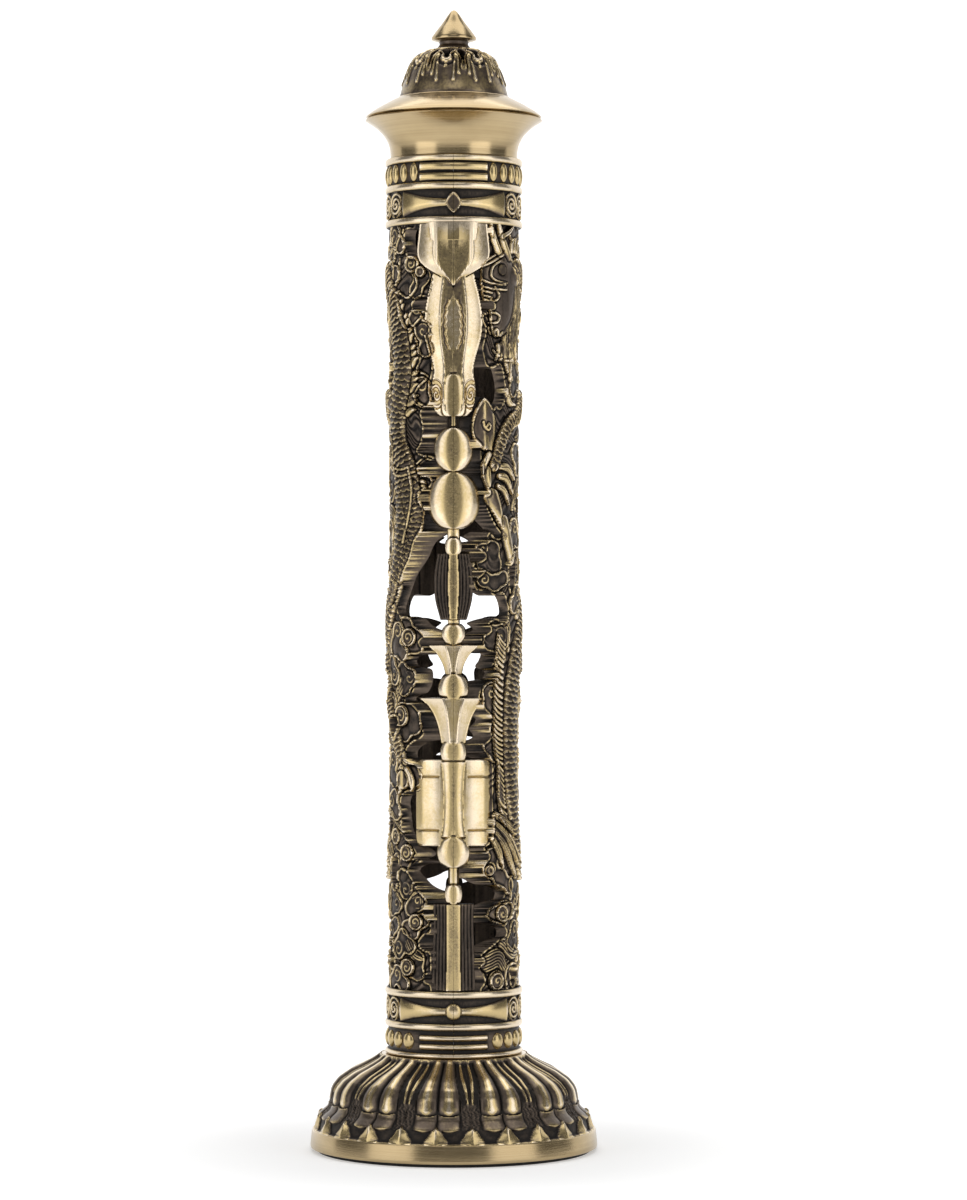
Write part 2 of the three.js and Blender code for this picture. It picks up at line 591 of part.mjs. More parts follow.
function domeLid() {
  const { radius, height, wall, crownWall, leaves } = DOME;
  const arc = (r, top) =>
    Array.from({ length: ARC_STEPS + 1 }, (_, i) => {
      const turn = (Math.asin(top / r) * i) / ARC_STEPS;
      return [r * Math.cos(turn), Z_DOME + r * Math.sin(turn)];
    });
  const outer = arc(radius, height);
  const inner = arc(radius - wall, height - crownWall);
  const shell = turned([...outer, [0, Z_DOME_TOP], [0, Z_DOME_TOP - crownWall], ...inner.reverse()]);
  const slots = Array.from({ length: leaves }, (_, k) => {
    const side = DOME_SLOTS[k % 2].map(([h, half]) => [half, Z_DOME + h]);
    const outline = [...side, ...side.map(([half, z]) => [-half, z]).reverse()];
    return prismFromFront(outline, FINIAL.neckRadius, 2 * radius).rotate([0, 0, (360 * (k + 0.5)) / leaves]);
  });
  const hole = disc(FINIAL.shankRadius + MATING_GAP, Z_DOME, Z_DOME_TOP + THROUGH, SMALL_SEGMENTS);
  return shell.subtract(join(slots)).subtract(hole);
}

function finial() {
  const { coneRadius, coneHeight, coneEdge, neckRadius, shankRadius, shankLength } = FINIAL;
  return turned([
    [0, Z_DOME_TOP - shankLength],
    [shankRadius, Z_DOME_TOP - shankLength],
    [shankRadius, Z_DOME_TOP],
    [neckRadius, Z_DOME_TOP],
    [neckRadius, Z_NECK_TOP],
    [coneRadius, Z_NECK_TOP],
    [coneRadius, Z_NECK_TOP + coneEdge],
    [0, Z_NECK_TOP + coneHeight],
  ], 2 * SMALL_SEGMENTS);
}

function finialNut() {
  const top = Z_DOME_TOP - DOME.crownWall;
  const corner = NUT.acrossFlats / 2 / Math.cos(rad(30));
  const foot = top - NUT.height;
  const hole = disc(FINIAL.shankRadius + MATING_GAP, foot - THROUGH, top + THROUGH, SMALL_SEGMENTS);
  return disc(corner, foot, top, 6).subtract(hole);
}

// Assembly

const burner = new THREE.Group();

const metal = (color, roughness) => new THREE.MeshStandardMaterial({ color, roughness, metalness: 0.95 });
const BRIGHT_BRONZE = () => metal(0xc9b083, 0.34);
const CAST_BRONZE = () => metal(0x8a7351, 0.42);
const BRASS = () => metal(0xb08d45, 0.35);
const STEEL = () => metal(0x8d8f92, 0.4);
const FELT = () => new THREE.MeshStandardMaterial({ color: 0x17161a, roughness: 0.95, metalness: 0 });

function add(name, body, material) {
  const mesh = new THREE.Mesh(geometryOf(body), material());
  mesh.name = name;
  burner.add(mesh);
}

const half = tubeHalf();
add("felt_pad", disc(PAD.radius, 0, PAD.thickness), FELT);
add("lotus_base", lotusBase(), CAST_BRONZE);
add("stick_holder", stickHolder(), BRASS);
add("holder_screw", holderScrew(), STEEL);
add("tube_half_right", half, CAST_BRONZE);
add("tube_half_left", half.rotate([0, 0, 180]), CAST_BRONZE);
add("lower_sleeve", lowerSleeve(), BRASS);
pinPlaces().forEach(([y, z], i) => {
  add(`locating_pin_${i + 1}`, rodAlongX(PIN.radius, PIN.length, y, z), STEEL);
});
add("flared_collar", flaredCollar(), BRIGHT_BRONZE);
add("lid_flange", lidFlange(), BRIGHT_BRONZE);
add("dome_lid", domeLid(), CAST_BRONZE);
add("finial", finial(), BRIGHT_BRONZE);
add("finial_nut", finialNut(), BRASS);

export default burner;
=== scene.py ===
"""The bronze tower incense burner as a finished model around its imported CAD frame.

Every mesh is worked out in millimetres in the frame of the part, +Z up, and made in metres.
"""

from __future__ import annotations

import logging
import math
from dataclasses import dataclass, field
from enum import Enum
from typing import Callable, Sequence

import bpy
import numpy as np
from bpy.types import Material, Mesh, Node, NodeSocket, NodeTree, Object
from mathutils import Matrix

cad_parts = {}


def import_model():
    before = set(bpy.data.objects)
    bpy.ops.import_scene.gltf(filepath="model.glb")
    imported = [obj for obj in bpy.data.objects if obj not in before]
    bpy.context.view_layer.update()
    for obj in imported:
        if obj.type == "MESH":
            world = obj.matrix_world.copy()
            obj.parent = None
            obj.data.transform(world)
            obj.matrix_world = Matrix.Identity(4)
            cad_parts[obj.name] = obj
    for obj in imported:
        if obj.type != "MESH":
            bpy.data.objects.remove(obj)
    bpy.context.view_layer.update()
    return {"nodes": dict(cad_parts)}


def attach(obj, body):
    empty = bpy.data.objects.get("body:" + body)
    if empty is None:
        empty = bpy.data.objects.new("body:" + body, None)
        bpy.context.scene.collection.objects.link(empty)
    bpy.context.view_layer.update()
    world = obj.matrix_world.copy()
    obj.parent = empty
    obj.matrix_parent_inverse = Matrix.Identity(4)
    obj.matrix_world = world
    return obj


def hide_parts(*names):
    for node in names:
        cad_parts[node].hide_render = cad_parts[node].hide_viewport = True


log = logging.getLogger("incense_burner")

MM = 0.001
# The wear attribute also carries painted shade and painted highlights on the ornament, the petals and the
# dome.
WEAR_AND_PAINTED_LIGHT = "wear_and_painted_light"  # the vertex attribute that says how far a ridge is rubbed bright
JOINT_GAP = 0.03  # how far each half stays clear of the joint
Array = np.ndarray
Texture = Shape = Callable[[Array, Array, Array], Array]


class Body(Enum):
    """The moving bodies of the burner."""

    BASE = "base"
    TUBE = "tube"
    LID = "lid"


class Slot(Enum):
    """The material slots."""

    CAST = "cast_bronze"
    BRIGHT = "bright_bronze"
    BRASS = "brass"
    STEEL = "steel"
    FELT = "felt"


# Curves and sections


def smooth_path(points: Sequence, closed: bool = False, steps: int = 6) -> Array:
    """Draws a Catmull-Rom curve through rows of numbers.

    Args:
        points: The rows that the curve passes through.
        closed: Whether the curve returns to its first row.
        steps: Steps between two rows.

    Returns:
        The rows of the finer curve.
    """
    rows = np.asarray(points, float)
    if len(rows) < 3:
        share = np.linspace(0, 1, steps + 1)[:, None]
        return rows[0] * (1 - share) + rows[-1] * share
    if closed:
        rows = np.vstack([rows[-1], rows, rows[0], rows[1]])
    else:
        rows = np.vstack([2 * rows[0] - rows[1], rows, 2 * rows[-1] - rows[-2]])
    share = np.linspace(0, 1, steps, endpoint=False)[:, None]
    pieces = []
    for before, here, there, after in zip(rows, rows[1:], rows[2:], rows[3:]):
        bend = 2 * before - 5 * here + 4 * there - after
        swing = 3 * here - before - 3 * there + after
        pieces.append(0.5 * (2 * here + (there - before) * share + bend * share**2 + swing * share**3))
    if not closed:
        pieces.append(rows[-2:-1])
    return np.vstack(pieces)


def lengths(rows: Array) -> Array:
    """Gives the length along a flat path up to each of its rows."""
    return np.concatenate([[0], np.cumsum(np.hypot(*np.diff(rows, axis=0).T))])


def round_axis(radius: Array, turn: Array, z: Array) -> Array:
    """Places points round the axis, their turn counted from the front."""
    return np.stack([radius * np.sin(turn), -radius * np.cos(turn), z], -1)


def rounded(distance: Array, half: Array | float) -> Array:
    """Gives a half-round section: 1 in the middle and 0 at the edge."""
    return np.sqrt(np.clip(1 - (distance / half) ** 2, 0, 1))


def ramp(value: Array | float, start: float, end: float) -> Array:
    """Gives a smooth step from 0 at start to 1 at end."""
    share = np.clip((value - start) / (end - start), 0, 1)
    return share * share * (3 - 2 * share)


def bump_at(value: Array, middle: float, width: float) -> Array:
    """Gives a soft bump of height 1 at the middle."""
    return np.exp(-(((value - middle) / width) ** 2))


def soften(grid: Array, cells: int) -> Array:
    """Blurs a grid by three passes of a box.

    Args:
        grid: The numbers to blur.
        cells: Half the width of the box, in cells.

    Returns:
        The blurred grid.
    """
    soft = grid.astype(float)
    for axis in (0, 1):
        for _ in range(3):
            pad = [(0, 0), (0, 0)]
            pad[axis] = (cells + 1, cells)
            total = np.cumsum(np.pad(soft, pad, mode="edge"), axis=axis)
            ahead = np.take(total, range(2 * cells + 1, total.shape[axis]), axis=axis)
            behind = np.take(total, range(0, total.shape[axis] - 2 * cells - 1), axis=axis)
            soft = (ahead - behind) / (2 * cells + 1)
    return soft


def filleted(corners: Sequence[tuple], steps: int = 4) -> Array:
    """Rounds the corners of a closed outline.

    Args:
        corners: Rows of radius, height and, where a corner is rounded, the radius of its fillet.
        steps: Steps round a fillet.

    Returns:
        The points of the rounded outline.
    """
    rows = [(*corner, 0.0)[:3] for corner in corners]
    points = []
    for k, (r, z, fillet) in enumerate(rows):
        here = np.array([r, z])
        if not fillet:
            points.append(here)
            continue
        before = np.array(rows[k - 1][:2])
        after = np.array(rows[(k + 1) % len(rows)][:2])
        back = (before - here) / np.linalg.norm(before - here)
        ahead = (after - here) / np.linalg.norm(after - here)
        reach = min(fillet, 0.45 * np.linalg.norm(before - here), 0.45 * np.linalg.norm(after - here))
        for share in np.linspace(0, 1, steps + 1):
            points.append(here + back * reach * (1 - share) ** 2 + ahead * reach * share**2)
    return np.array(points)


# Meshes


@dataclass
class Skin:
    """Vertices in millimetres, faces by their number of corners, and the wear of each vertex, with painted
    shade and highlights where a piece has them.
    """

    points: Array
    faces: list[Array]
    wear_and_painted_light: Array | None = None

    def joined(self, other: "Skin") -> "Skin":
        """Joins another skin to this one.

        Args:
            other: The other skin.

        Returns:
            Both as one.
        """
        faces = self.faces + [f + len(self.points) for f in other.faces]
        wear_and_painted_light = None
        if self.wear_and_painted_light is not None and other.wear_and_painted_light is not None:
            wear_and_painted_light = np.concatenate([self.wear_and_painted_light, other.wear_and_painted_light])
        return Skin(np.vstack([self.points, other.points]), faces, wear_and_painted_light)

    def mesh(self, name: str) -> Mesh:
        """Makes the Blender mesh, in metres.

        Args:
            name: Its name.

        Returns:
            The mesh.
        """
        data = bpy.data.meshes.new(name)
        data.vertices.add(len(self.points))
        data.vertices.foreach_set("co", (self.points * MM).astype(np.float32).ravel())
        loops = np.concatenate([f.ravel() for f in self.faces]).astype(np.int32)
        corners = np.concatenate([np.full(len(f), f.shape[1]) for f in self.faces])
        data.loops.add(len(loops))
        data.loops.foreach_set("vertex_index", loops)
        data.polygons.add(len(corners))
        starts = np.concatenate([[0], np.cumsum(corners)[:-1]]).astype(np.int32)
        data.polygons.foreach_set("loop_start", starts)
        if self.wear_and_painted_light is not None:
            painted = data.attributes.new(WEAR_AND_PAINTED_LIGHT, "FLOAT", "POINT")
            painted.data.foreach_set("value", self.wear_and_painted_light.astype(np.float32))
        data.update(calc_edges=True)
        data.validate()
        return data


def turned(profile: Array, segments: int = 160, wear_and_painted_light: float = 0.6) -> Skin:
    """Turns a closed profile about Z.

    Args:
        profile: Rows of radius and height, anticlockwise with the radius to the right.
        segments: Steps round the circle.
        wear_and_painted_light: The wear of the whole piece.

    Returns:
        The closed skin. Points on the axis become one pole each.
    """
    n = len(profile)
    turns = 2 * np.pi * np.arange(segments) / segments
    ring = np.stack([np.sin(turns), -np.cos(turns)], 1)
    points = np.zeros((segments, n, 3))
    points[..., :2] = ring[:, None, :] * profile[None, :, :1]
    points[..., 2] = profile[None, :, 1]
    ids = np.arange(segments * n).reshape(segments, n)
    for k in np.flatnonzero(profile[:, 0] < 1e-6):
        ids[:, k] = ids[0, k]
    quads, threes = [], []
    for k in range(n):
        a, b = ids[:, k], ids[:, (k + 1) % n]
        c, d = np.roll(b, -1), np.roll(a, -1)
        on_axis = (a[0] == a[1], b[0] == b[1])
        if all(on_axis):
            continue
        if on_axis[0]:
            threes.append(np.stack([a, c, b], 1))
        elif on_axis[1]:
            threes.append(np.stack([a, d, b], 1))
        else:
            quads.append(np.stack([a, d, c, b], 1))
    faces = [np.vstack(group) for group in (quads, threes) if group]
    return compact(Skin(points.reshape(-1, 3), faces, np.full(segments * n, wear_and_painted_light)))


def compact(skin: Skin) -> Skin:
    """Drops the vertices that no face uses.

    Args:
        skin: The skin.

    Returns:
        The same skin without them.
    """
    used = np.unique(np.concatenate([f.ravel() for f in skin.faces]))
    where = np.zeros(len(skin.points), int)
    where[used] = np.arange(len(used))
    wear_and_painted_light = None if skin.wear_and_painted_light is None else skin.wear_and_painted_light[used]
    return Skin(skin.points[used], [where[f] for f in skin.faces], wear_and_painted_light)


def lofted(rings: Array, wear_and_painted_light: float) -> Skin:
    """Makes a closed skin through rings of as many points, with a flat fan at both ends.

    Args:
        rings: Points as [ring, place in ring, xyz].
        wear_and_painted_light: The wear of the whole piece.

    Returns:
        The closed skin.
    """
    count, n, _ = rings.shape
    ids = np.arange(count * n).reshape(count, n)
    a, b = ids[:-1], np.roll(ids[:-1], -1, 1)
    c, d = np.roll(ids[1:], -1, 1), ids[1:]
    quads = np.stack([a, b, c, d], -1).reshape(-1, 4)
    middle = np.arange(1, n - 1)
    first = np.stack([np.full(n - 2, ids[0, 0]), ids[0, middle + 1], ids[0, middle]], 1)
    last = np.stack([np.full(n - 2, ids[-1, 0]), ids[-1, middle], ids[-1, middle + 1]], 1)
    return Skin(rings.reshape(-1, 3), [quads, np.vstack([first, last])], np.full(count * n, wear_and_painted_light))


def linked(name: str, data: bpy.types.ID) -> Object:
    """Makes an object of some data in the scene."""
    made = bpy.data.objects.new(name, data)
    bpy.context.scene.collection.objects.link(made)
    return made


def add_piece(
    name: str,
    data: Mesh,
    body: Body,
    material: Material,
    replaces: Sequence[str] = (),
    sharp: float = 40,
) -> None:
    """Puts a finished mesh in the scene on its body.

    Args:
        name: The piece's name.
        data: Its mesh, in place.
        body: The body that it rides on.
        material: Its material.
        replaces: The CAD nodes that it stands for.
        sharp: Edges that turn by more than this many degrees stay sharp.
    """
    data.materials.clear()
    data.materials.append(material)
    data.polygons.foreach_set("use_smooth", np.ones(len(data.polygons), bool))
    data.set_sharp_from_angle(angle=math.radians(sharp))
    piece = linked(name, data)
    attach(piece, body.value)
    if replaces:
        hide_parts(*replaces)
    log.info("%s: %d triangles", name, triangles_of(data))


def triangles_of(data: Mesh) -> int:
    """Counts a mesh's triangles."""
    return len(data.loops) - 2 * len(data.polygons)


def half_turn(data: Mesh) -> None:
    """Turns a mesh by half a turn about Z.

    Args:
        data: The mesh.
    """
    points = np.zeros(len(data.vertices) * 3, np.float32)
    data.vertices.foreach_get("co", points)
    points.reshape(-1, 3)[:, :2] *= -1
    data.vertices.foreach_set("co", points)
    data.update()


def add_pair(
    name: str, right: Mesh, material: Material, replaces: str = "", sharp: float = 40
) -> None:
    """Adds a cast piece of the tube's right half, and its copy turned by half a turn on the left half.

    Args:
        name: The name of both pieces without their side.
        right: The mesh on the right half.
        material: Its material.
        replaces: The name without its side of the CAD nodes that the pieces stand for.
        sharp: Edges that turn by more than this many degrees stay sharp.
    """
    left = right.copy()
    half_turn(left)
    for side, data in (("right", right), ("left", left)):
        nodes = [f"{replaces}_{side}"] if replaces else []
        add_piece(f"{name}_{side}", data, Body.TUBE, material, nodes, sharp)


def applied(data: Mesh, add: Callable[[Object], None]) -> Mesh:
    """Runs a modifier on a mesh and gives the plain result.

    Args:
        data: The mesh to start from.
        add: Adds the modifier to the object that it is given.

    Returns:
        The resulting mesh, without the modifier.
    """
    carrier = linked(data.name + "_carrier", data)
    add(carrier)
    graph = bpy.context.evaluated_depsgraph_get()
    result = bpy.data.meshes.new_from_object(carrier.evaluated_get(graph), depsgraph=graph)
    bpy.data.objects.remove(carrier)
    return result


def thinned(data: Mesh, most: int) -> Mesh:
    """Merges faces, the flattest first.

    Args:
        data: The mesh to start from.
        most: How many triangles may be left.

    Returns:
        The thinner mesh, or the same one where it is thin enough.
    """
    triangles = triangles_of(data)
    if triangles <= most:
        return data

    def decimate(carrier: Object) -> None:
        """Adds the Decimate modifier."""
        modifier = carrier.modifiers.new("Thin", "DECIMATE")
        modifier.ratio = most / triangles
        modifier.use_collapse_triangulate = True

    return applied(data, decimate)


# The carving's painter


@dataclass
class Relief:
    """The radius of a cast skin, and how deep each place lies inside its metal, unrolled on a grid.

    The grid's first axis is the way round from the front joint and the second is the height.
    """

    width: float
    foot: float
    top: float
    step: float
    ground: float
    s: Array = field(init=False)
    z: Array = field(init=False)
    radius: Array = field(init=False)
    metal: Array = field(init=False)
    # Painted light added to the wear: painted shade along and beside the ornament's forms, lifted again on
    # the lens.
    painted_light: Array = field(init=False)

    def __post_init__(self) -> None:
        """Lays out the grid at the ground radius, all metal."""
        self.s = np.linspace(0, self.width, int(round(self.width / self.step)) + 1)[:, None]
        self.z = np.linspace(self.foot, self.top, int(round((self.top - self.foot) / self.step)) + 1)[None, :]
        shape = (self.s.shape[0], self.z.shape[1])
        self.radius = np.full(shape, self.ground)
        self.metal = np.full(shape, 9.0)
        self.painted_light = np.zeros(shape)

    def window(self, points: Array, margin: float) -> tuple:
        """Finds the part of the grid near some points.

        Args:
            points: Rows that start with the way round and the height.
            margin: How far beyond them the part reaches.

        Returns:
            The part as two slices, and its coordinates both ways.
        """
        low, high = points[:, :2].min(0) - margin, points[:, :2].max(0) + margin
        i0, i1 = np.searchsorted(self.s[:, 0], [low[0], high[0]])
        j0, j1 = np.searchsorted(self.z[0], [low[1], high[1]])
        return (slice(i0, i1), slice(j0, j1)), self.s[i0:i1], self.z[:, j0:j1]

    def near(self, curve: Array, margin: float) -> tuple:
        """Measures the cells near a curve against it.

        Args:
            curve: Rows of way round, height and, where it is known, half width.
            margin: How far from the curve the cells lie.

        Returns:
            The part of the grid, and in it the distance, the signed distance to the left, the length
            along the curve and the half width there.
        """
        place, s, z = self.window(curve, margin)
        shape = np.broadcast_shapes(s.shape, z.shape)
        best = np.full(shape, 1e9)
        side, along, half = np.zeros(shape), np.zeros(shape), np.zeros(shape)
        gone = 0.0
        widths = curve[:, 2] if curve.shape[1] > 2 else np.zeros(len(curve))
        for a, b, wide, wider in zip(curve[:, :2], curve[1:, :2], widths, widths[1:]):
            run = b - a
            length = float(np.hypot(*run)) or 1e-9
            share = np.clip(((s - a[0]) * run[0] + (z - a[1]) * run[1]) / length**2, 0, 1)
            ds, dz = s - a[0] - share * run[0], z - a[1] - share * run[1]
            distance = np.hypot(ds, dz)
            closer = distance < best
            best = np.where(closer, distance, best)
            side = np.where(closer, (run[0] * dz - run[1] * ds) / length, side)
            along = np.where(closer, gone + share * length, along)
            half = np.where(closer, wide + share * (wider - wide), half)
            gone += length
        return place, best, side, along, half

    def inside(self, outline: Array, margin: float = 1.0) -> tuple:
        """Measures the cells near a closed outline, positive inside it.

        Args:
            outline: The outline's points.
            margin: How far outside the outline the cells lie.

        Returns:
            The part of the grid and the depth there.
        """
        curve = np.vstack([outline, outline[:1]])
        place, best, *_ = self.near(curve, margin)
        s, z = self.s[place[0]], self.z[:, place[1]]
        within = np.zeros(best.shape, bool)
        for a, b in zip(curve, curve[1:]):
            crosses = (a[1] > z) != (b[1] > z)
            if crosses.any():
                at = a[0] + (z - a[1]) / ((b[1] - a[1]) or 1e-9) * (b[0] - a[0])
                within ^= crosses & (s < at)
        return place, np.where(within, best, -best)

    def cut(self, outline: Array) -> None:
        """Opens the skin inside an outline."""
        place, depth = self.inside(outline, 2.0)
        self.metal[place] = np.minimum(self.metal[place], -depth)

    def raise_to(self, place: tuple, height: Array, where: Array, trench: float = 0.0) -> None:
        """Lifts the skin to a height, and sinks what lies just outside.

        Args:
            place: The part of the grid.
            height: The radius to lift it to.
            where: The depth inside the lifted form.
            trench: How deep the groove beside it is.
        """
        reach = 0.45
        here = self.radius[place]
        if trench:
            sunk = np.maximum(self.ground - 0.3, here - trench * (1 + np.clip(where, -reach, 0) / reach))
            here = np.where((where <= 0) & (where > -reach), sunk, here)
        self.radius[place] = np.where(where > 0, np.maximum(here, height), here)

    def ridge(
        self, path: Sequence, level: float, crown: float, trench: float = 0.35, texture: Texture | None = None
    ) -> None:
        """Raises a stroke.

        Args:
            path: Rows of way round, height and half width.
            level: The radius at the stroke's edge.
            crown: How far its middle stands above that.
            trench: How deep the groove beside it is.
            texture: Adds height from the length along, the place across from -1 to 1, and the half width.
        """
        curve = smooth_path(path)
        place, distance, side, along, half = self.near(curve, curve[:, 2].max() + 0.6)
        half = np.maximum(half, 0.05)
        height = level + crown * rounded(distance, half)
        if texture:
            height = height + texture(along, side / half, half)
        self.raise_to(place, height, half - distance, trench)

    def line(self, path: Sequence, half: float = 0.26, rise: float = 0.38) -> None:
        """Lays a thin bead, with a gutter on both sides, on whatever is below it.

        Args:
            path: Rows that start with the way round and the height.
            half: The bead's half width.
            rise: Its height.
        """
        curve = smooth_path([row[:2] for row in path])
        place, distance, *_ = self.near(curve, half + 0.5)
        gutter = 0.24 * bump_at(distance, half + 0.14, 0.16) * (distance > half)
        self.radius[place] += rise * rounded(distance, half) - gutter

    def plate(self, outline: Sequence, level: float, dome: float, trench: float) -> None:
        """Raises a plate with a thin rim and a domed face.

        Args:
            outline: Its closed outline.
            level: The radius at its edge.
            dome: How far its middle stands above that.
            trench: How deep the groove beside it is.
        """
        place, depth = self.inside(smooth_path(outline, closed=True))
        face = level + dome * ramp(depth, 0.2, 1.6)
        self.raise_to(place, face + 0.22 * bump_at(depth, 0.2, 0.2), depth, trench)

    def cloud(self, lobes: Sequence, level: float, grow: float = 1.0) -> None:
        """Raises a cloud of round lobes inside one outline.

        Args:
            lobes: Rows of way round, height and radius, and the hand of its scroll where a lobe has one.
            level: The radius of its face.
            grow: A factor on the radius of every lobe.
        """
        rows = np.array([lobe[:3] for lobe in lobes], float)
        place, s, z = self.window(rows, rows[:, 2].max() * grow + 0.6)
        depth = np.full(np.broadcast_shapes(s.shape, z.shape), -9.0)
        face = np.zeros(depth.shape)
        blend = 1.3
        for cs, cz, size, *hand in lobes:
            radius = size * grow
            reach = np.hypot(s - cs, z - cz)
            here = radius - reach
            scroll = np.zeros(reach.shape)
            if hand:
                pitch = max(0.95, radius / 1.8)
                arm = reach / pitch - np.arctan2(z - cz, s - cs) / (2 * np.pi) * hand[0]
                gap = np.abs(arm - np.round(arm)) * pitch
                scroll = 0.26 * rounded(gap, 0.24) * ramp(here, 0.5, 0.8)
            face = np.where(here > depth, scroll, face)
            share = np.clip(0.5 + 0.5 * (here - depth) / blend, 0, 1)
            depth = depth * (1 - share) + here * share + blend * share * (1 - share)
        edge = 0.34 * bump_at(depth, 0.2, 0.17) - 0.12 * bump_at(depth, 0.56, 0.16)
        self.raise_to(place, level + face + edge + 0.12 * ramp(depth, 0.6, 2.2), depth, 0.5)

    def comb(self, path: Sequence, side: float, length: float, every: float, level: float) -> None:
        """Raises a row of pointed rays beside a curve.

        Args:
            path: The curve, as rows of way round and height.
            side: The rays' direction from the curve, in degrees to its left.
            length: The length of a ray.
            every: The distance from ray to ray.
            level: The radius of their edge.
        """
        curve = smooth_path([row[:2] for row in path])
        along = lengths(curve)
        for at in np.arange(0.5 * every, along[-1], every):
            k = min(int(np.searchsorted(along, at)), len(curve) - 1)
            root = curve[k]
            heading = math.atan2(*(curve[k] - curve[k - 1])[::-1]) + math.radians(side)
            tip = root + length * np.array([math.cos(heading), math.sin(heading)])
            bend = 0.5 * (root + tip) + 0.12 * length * np.array([-math.sin(heading), math.cos(heading)])
            self.ridge([(*root, 0.45 * every), (*bend, 0.4 * every), (*tip, 0.08)], level, 0.45, 0.3)


def scales(pitch: float, rise: float) -> Texture:
    """Makes the texture of overlapping scales for a stroke.

    Args:
        pitch: The length of a scale.
        rise: How far its free edge stands up.

    Returns:
        The texture.
    """

    def texture(along: Array, across: Array, half: Array) -> Array:
        """Gives the height of the scales that cover each place.

        Args:
            along: The length along.
            across: The place across, from -1 to 1.
            half: The half width there.

        Returns:
            The height.
        """
        row = np.floor(along / pitch)
        ahead = along / pitch - row
        column = across * half / (1.5 * pitch)
        height = None
        for later in (1, 0):
            sideways = column + 0.5 * ((row + later) % 2)
            aside = (sideways - np.round(sideways)) * 1.5
            reach = np.hypot(aside, ahead - later)
            scale = rise * (ahead - later) + 0.6 * rise * bump_at(reach, 0.92, 0.12)
            height = scale if height is None else np.where(reach < 1, scale, height)
        return height

    return texture


def strands(pitch: float, rise: float) -> Texture:
    """Makes the texture of fine strands along a stroke.

    Args:
        pitch: The width of a strand.
        rise: Its height.

    Returns:
        The texture.
    """

    def texture(along: Array, across: Array, half: Array) -> Array:
        """Gives the height of the strands."""
        phase = across * half / pitch + 0.08 * np.sin(along * 1.3)
        return rise * (np.abs(np.sin(np.pi * phase)) - 0.5)

    return texture


# Where everything lies on the unrolled half


HALF_ROUND = 45.87  # the way round from the front joint to the back joint

# The line where the metal beside the front ornament ends, from the top down.
FRONT_EDGE = [
    (6.8, 203.5), (7.4, 201.6), (8.6, 200.9), (8.4, 199.3), (7, 198.2), (6.4, 196), (5.8, 193.6),
    (6.1, 191.6), (5.9, 189.5), (6.4, 187.6), (6.3, 185.6), (9, 184.9), (9.2, 183.7), (7, 182.8),
    (6.6, 181), (7.4, 179.4), (7.2, 177.4), (6.6, 175.4), (7, 173.2), (7.6, 171.2), (9.6, 170.6),
    (11.6, 171.4), (12.7, 169.5), (13.3, 166.4), (12.9, 163.7), (11.6, 162.2), (10.4, 163.1), (9.7, 161.9),
    (8.2, 163.6), (6.6, 164.4), (5.2, 162.2), (4.3, 160), (3.9, 157.6), (4.4, 155.4), (5.9, 153.6),
    (6.1, 150.5), (6.2, 148.4), (6.6, 145.8), (7.9, 143.7), (6.7, 143), (7.4, 141), (8.8, 138.3),
    (10.6, 135.9), (12.2, 134.3), (10.4, 134), (8.9, 135.3), (7.9, 134.4), (8.3, 133.2), (6.3, 132.9),
    (4.7, 132), (6.4, 131), (7.5, 129.9), (6.5, 129.1), (4.5, 128.4), (4.6, 127.2), (7, 126.8),
    (5.2, 125.2), (4.5, 123.6), (5.8, 122.4), (8.2, 122.6), (9.8, 121.4), (12.6, 121.8), (14.1, 120),
    (14.5, 117.4), (13, 115.5), (10.8, 116.6), (8.2, 115.6), (8.9, 113.9), (6.4, 112.4), (6.9, 110.7),
    (7.9, 109.4), (10, 109), (9.7, 107.3), (9.2, 106), (10.8, 105), (10.3, 103.4), (8.4, 103), (6.7, 101.9),
    (5.6, 99.7), (6.6, 98.1), (7.2, 96.6), (9.3, 94.7), (8.4, 92.7), (8.9, 90.8), (6.8, 89.1), (7.2, 87.3),
    (8.8, 86.1), (9.2, 84), (9.2, 80), (9.1, 72), (8.6, 68.4), (6.9, 66.8), (8.3, 65), (7.1, 63.4),
    (6.6, 61.9), (7.6, 60.4), (9, 59), (12.1, 58), (13.3, 56.8), (12.5, 55.4), (10.2, 55), (8.3, 53.7),
    (7.4, 52.2), (8.8, 50.7), (12.2, 49.8), (13.8, 48.5), (13.2, 47.2), (11.6, 47), (8.9, 45.5),
    (6.3, 43.8), (6.9, 42.2), (5.6, 40.8), (6.8, 39.3), (7.2, 37.8), (6.2, 36.6), (6, 35),
]
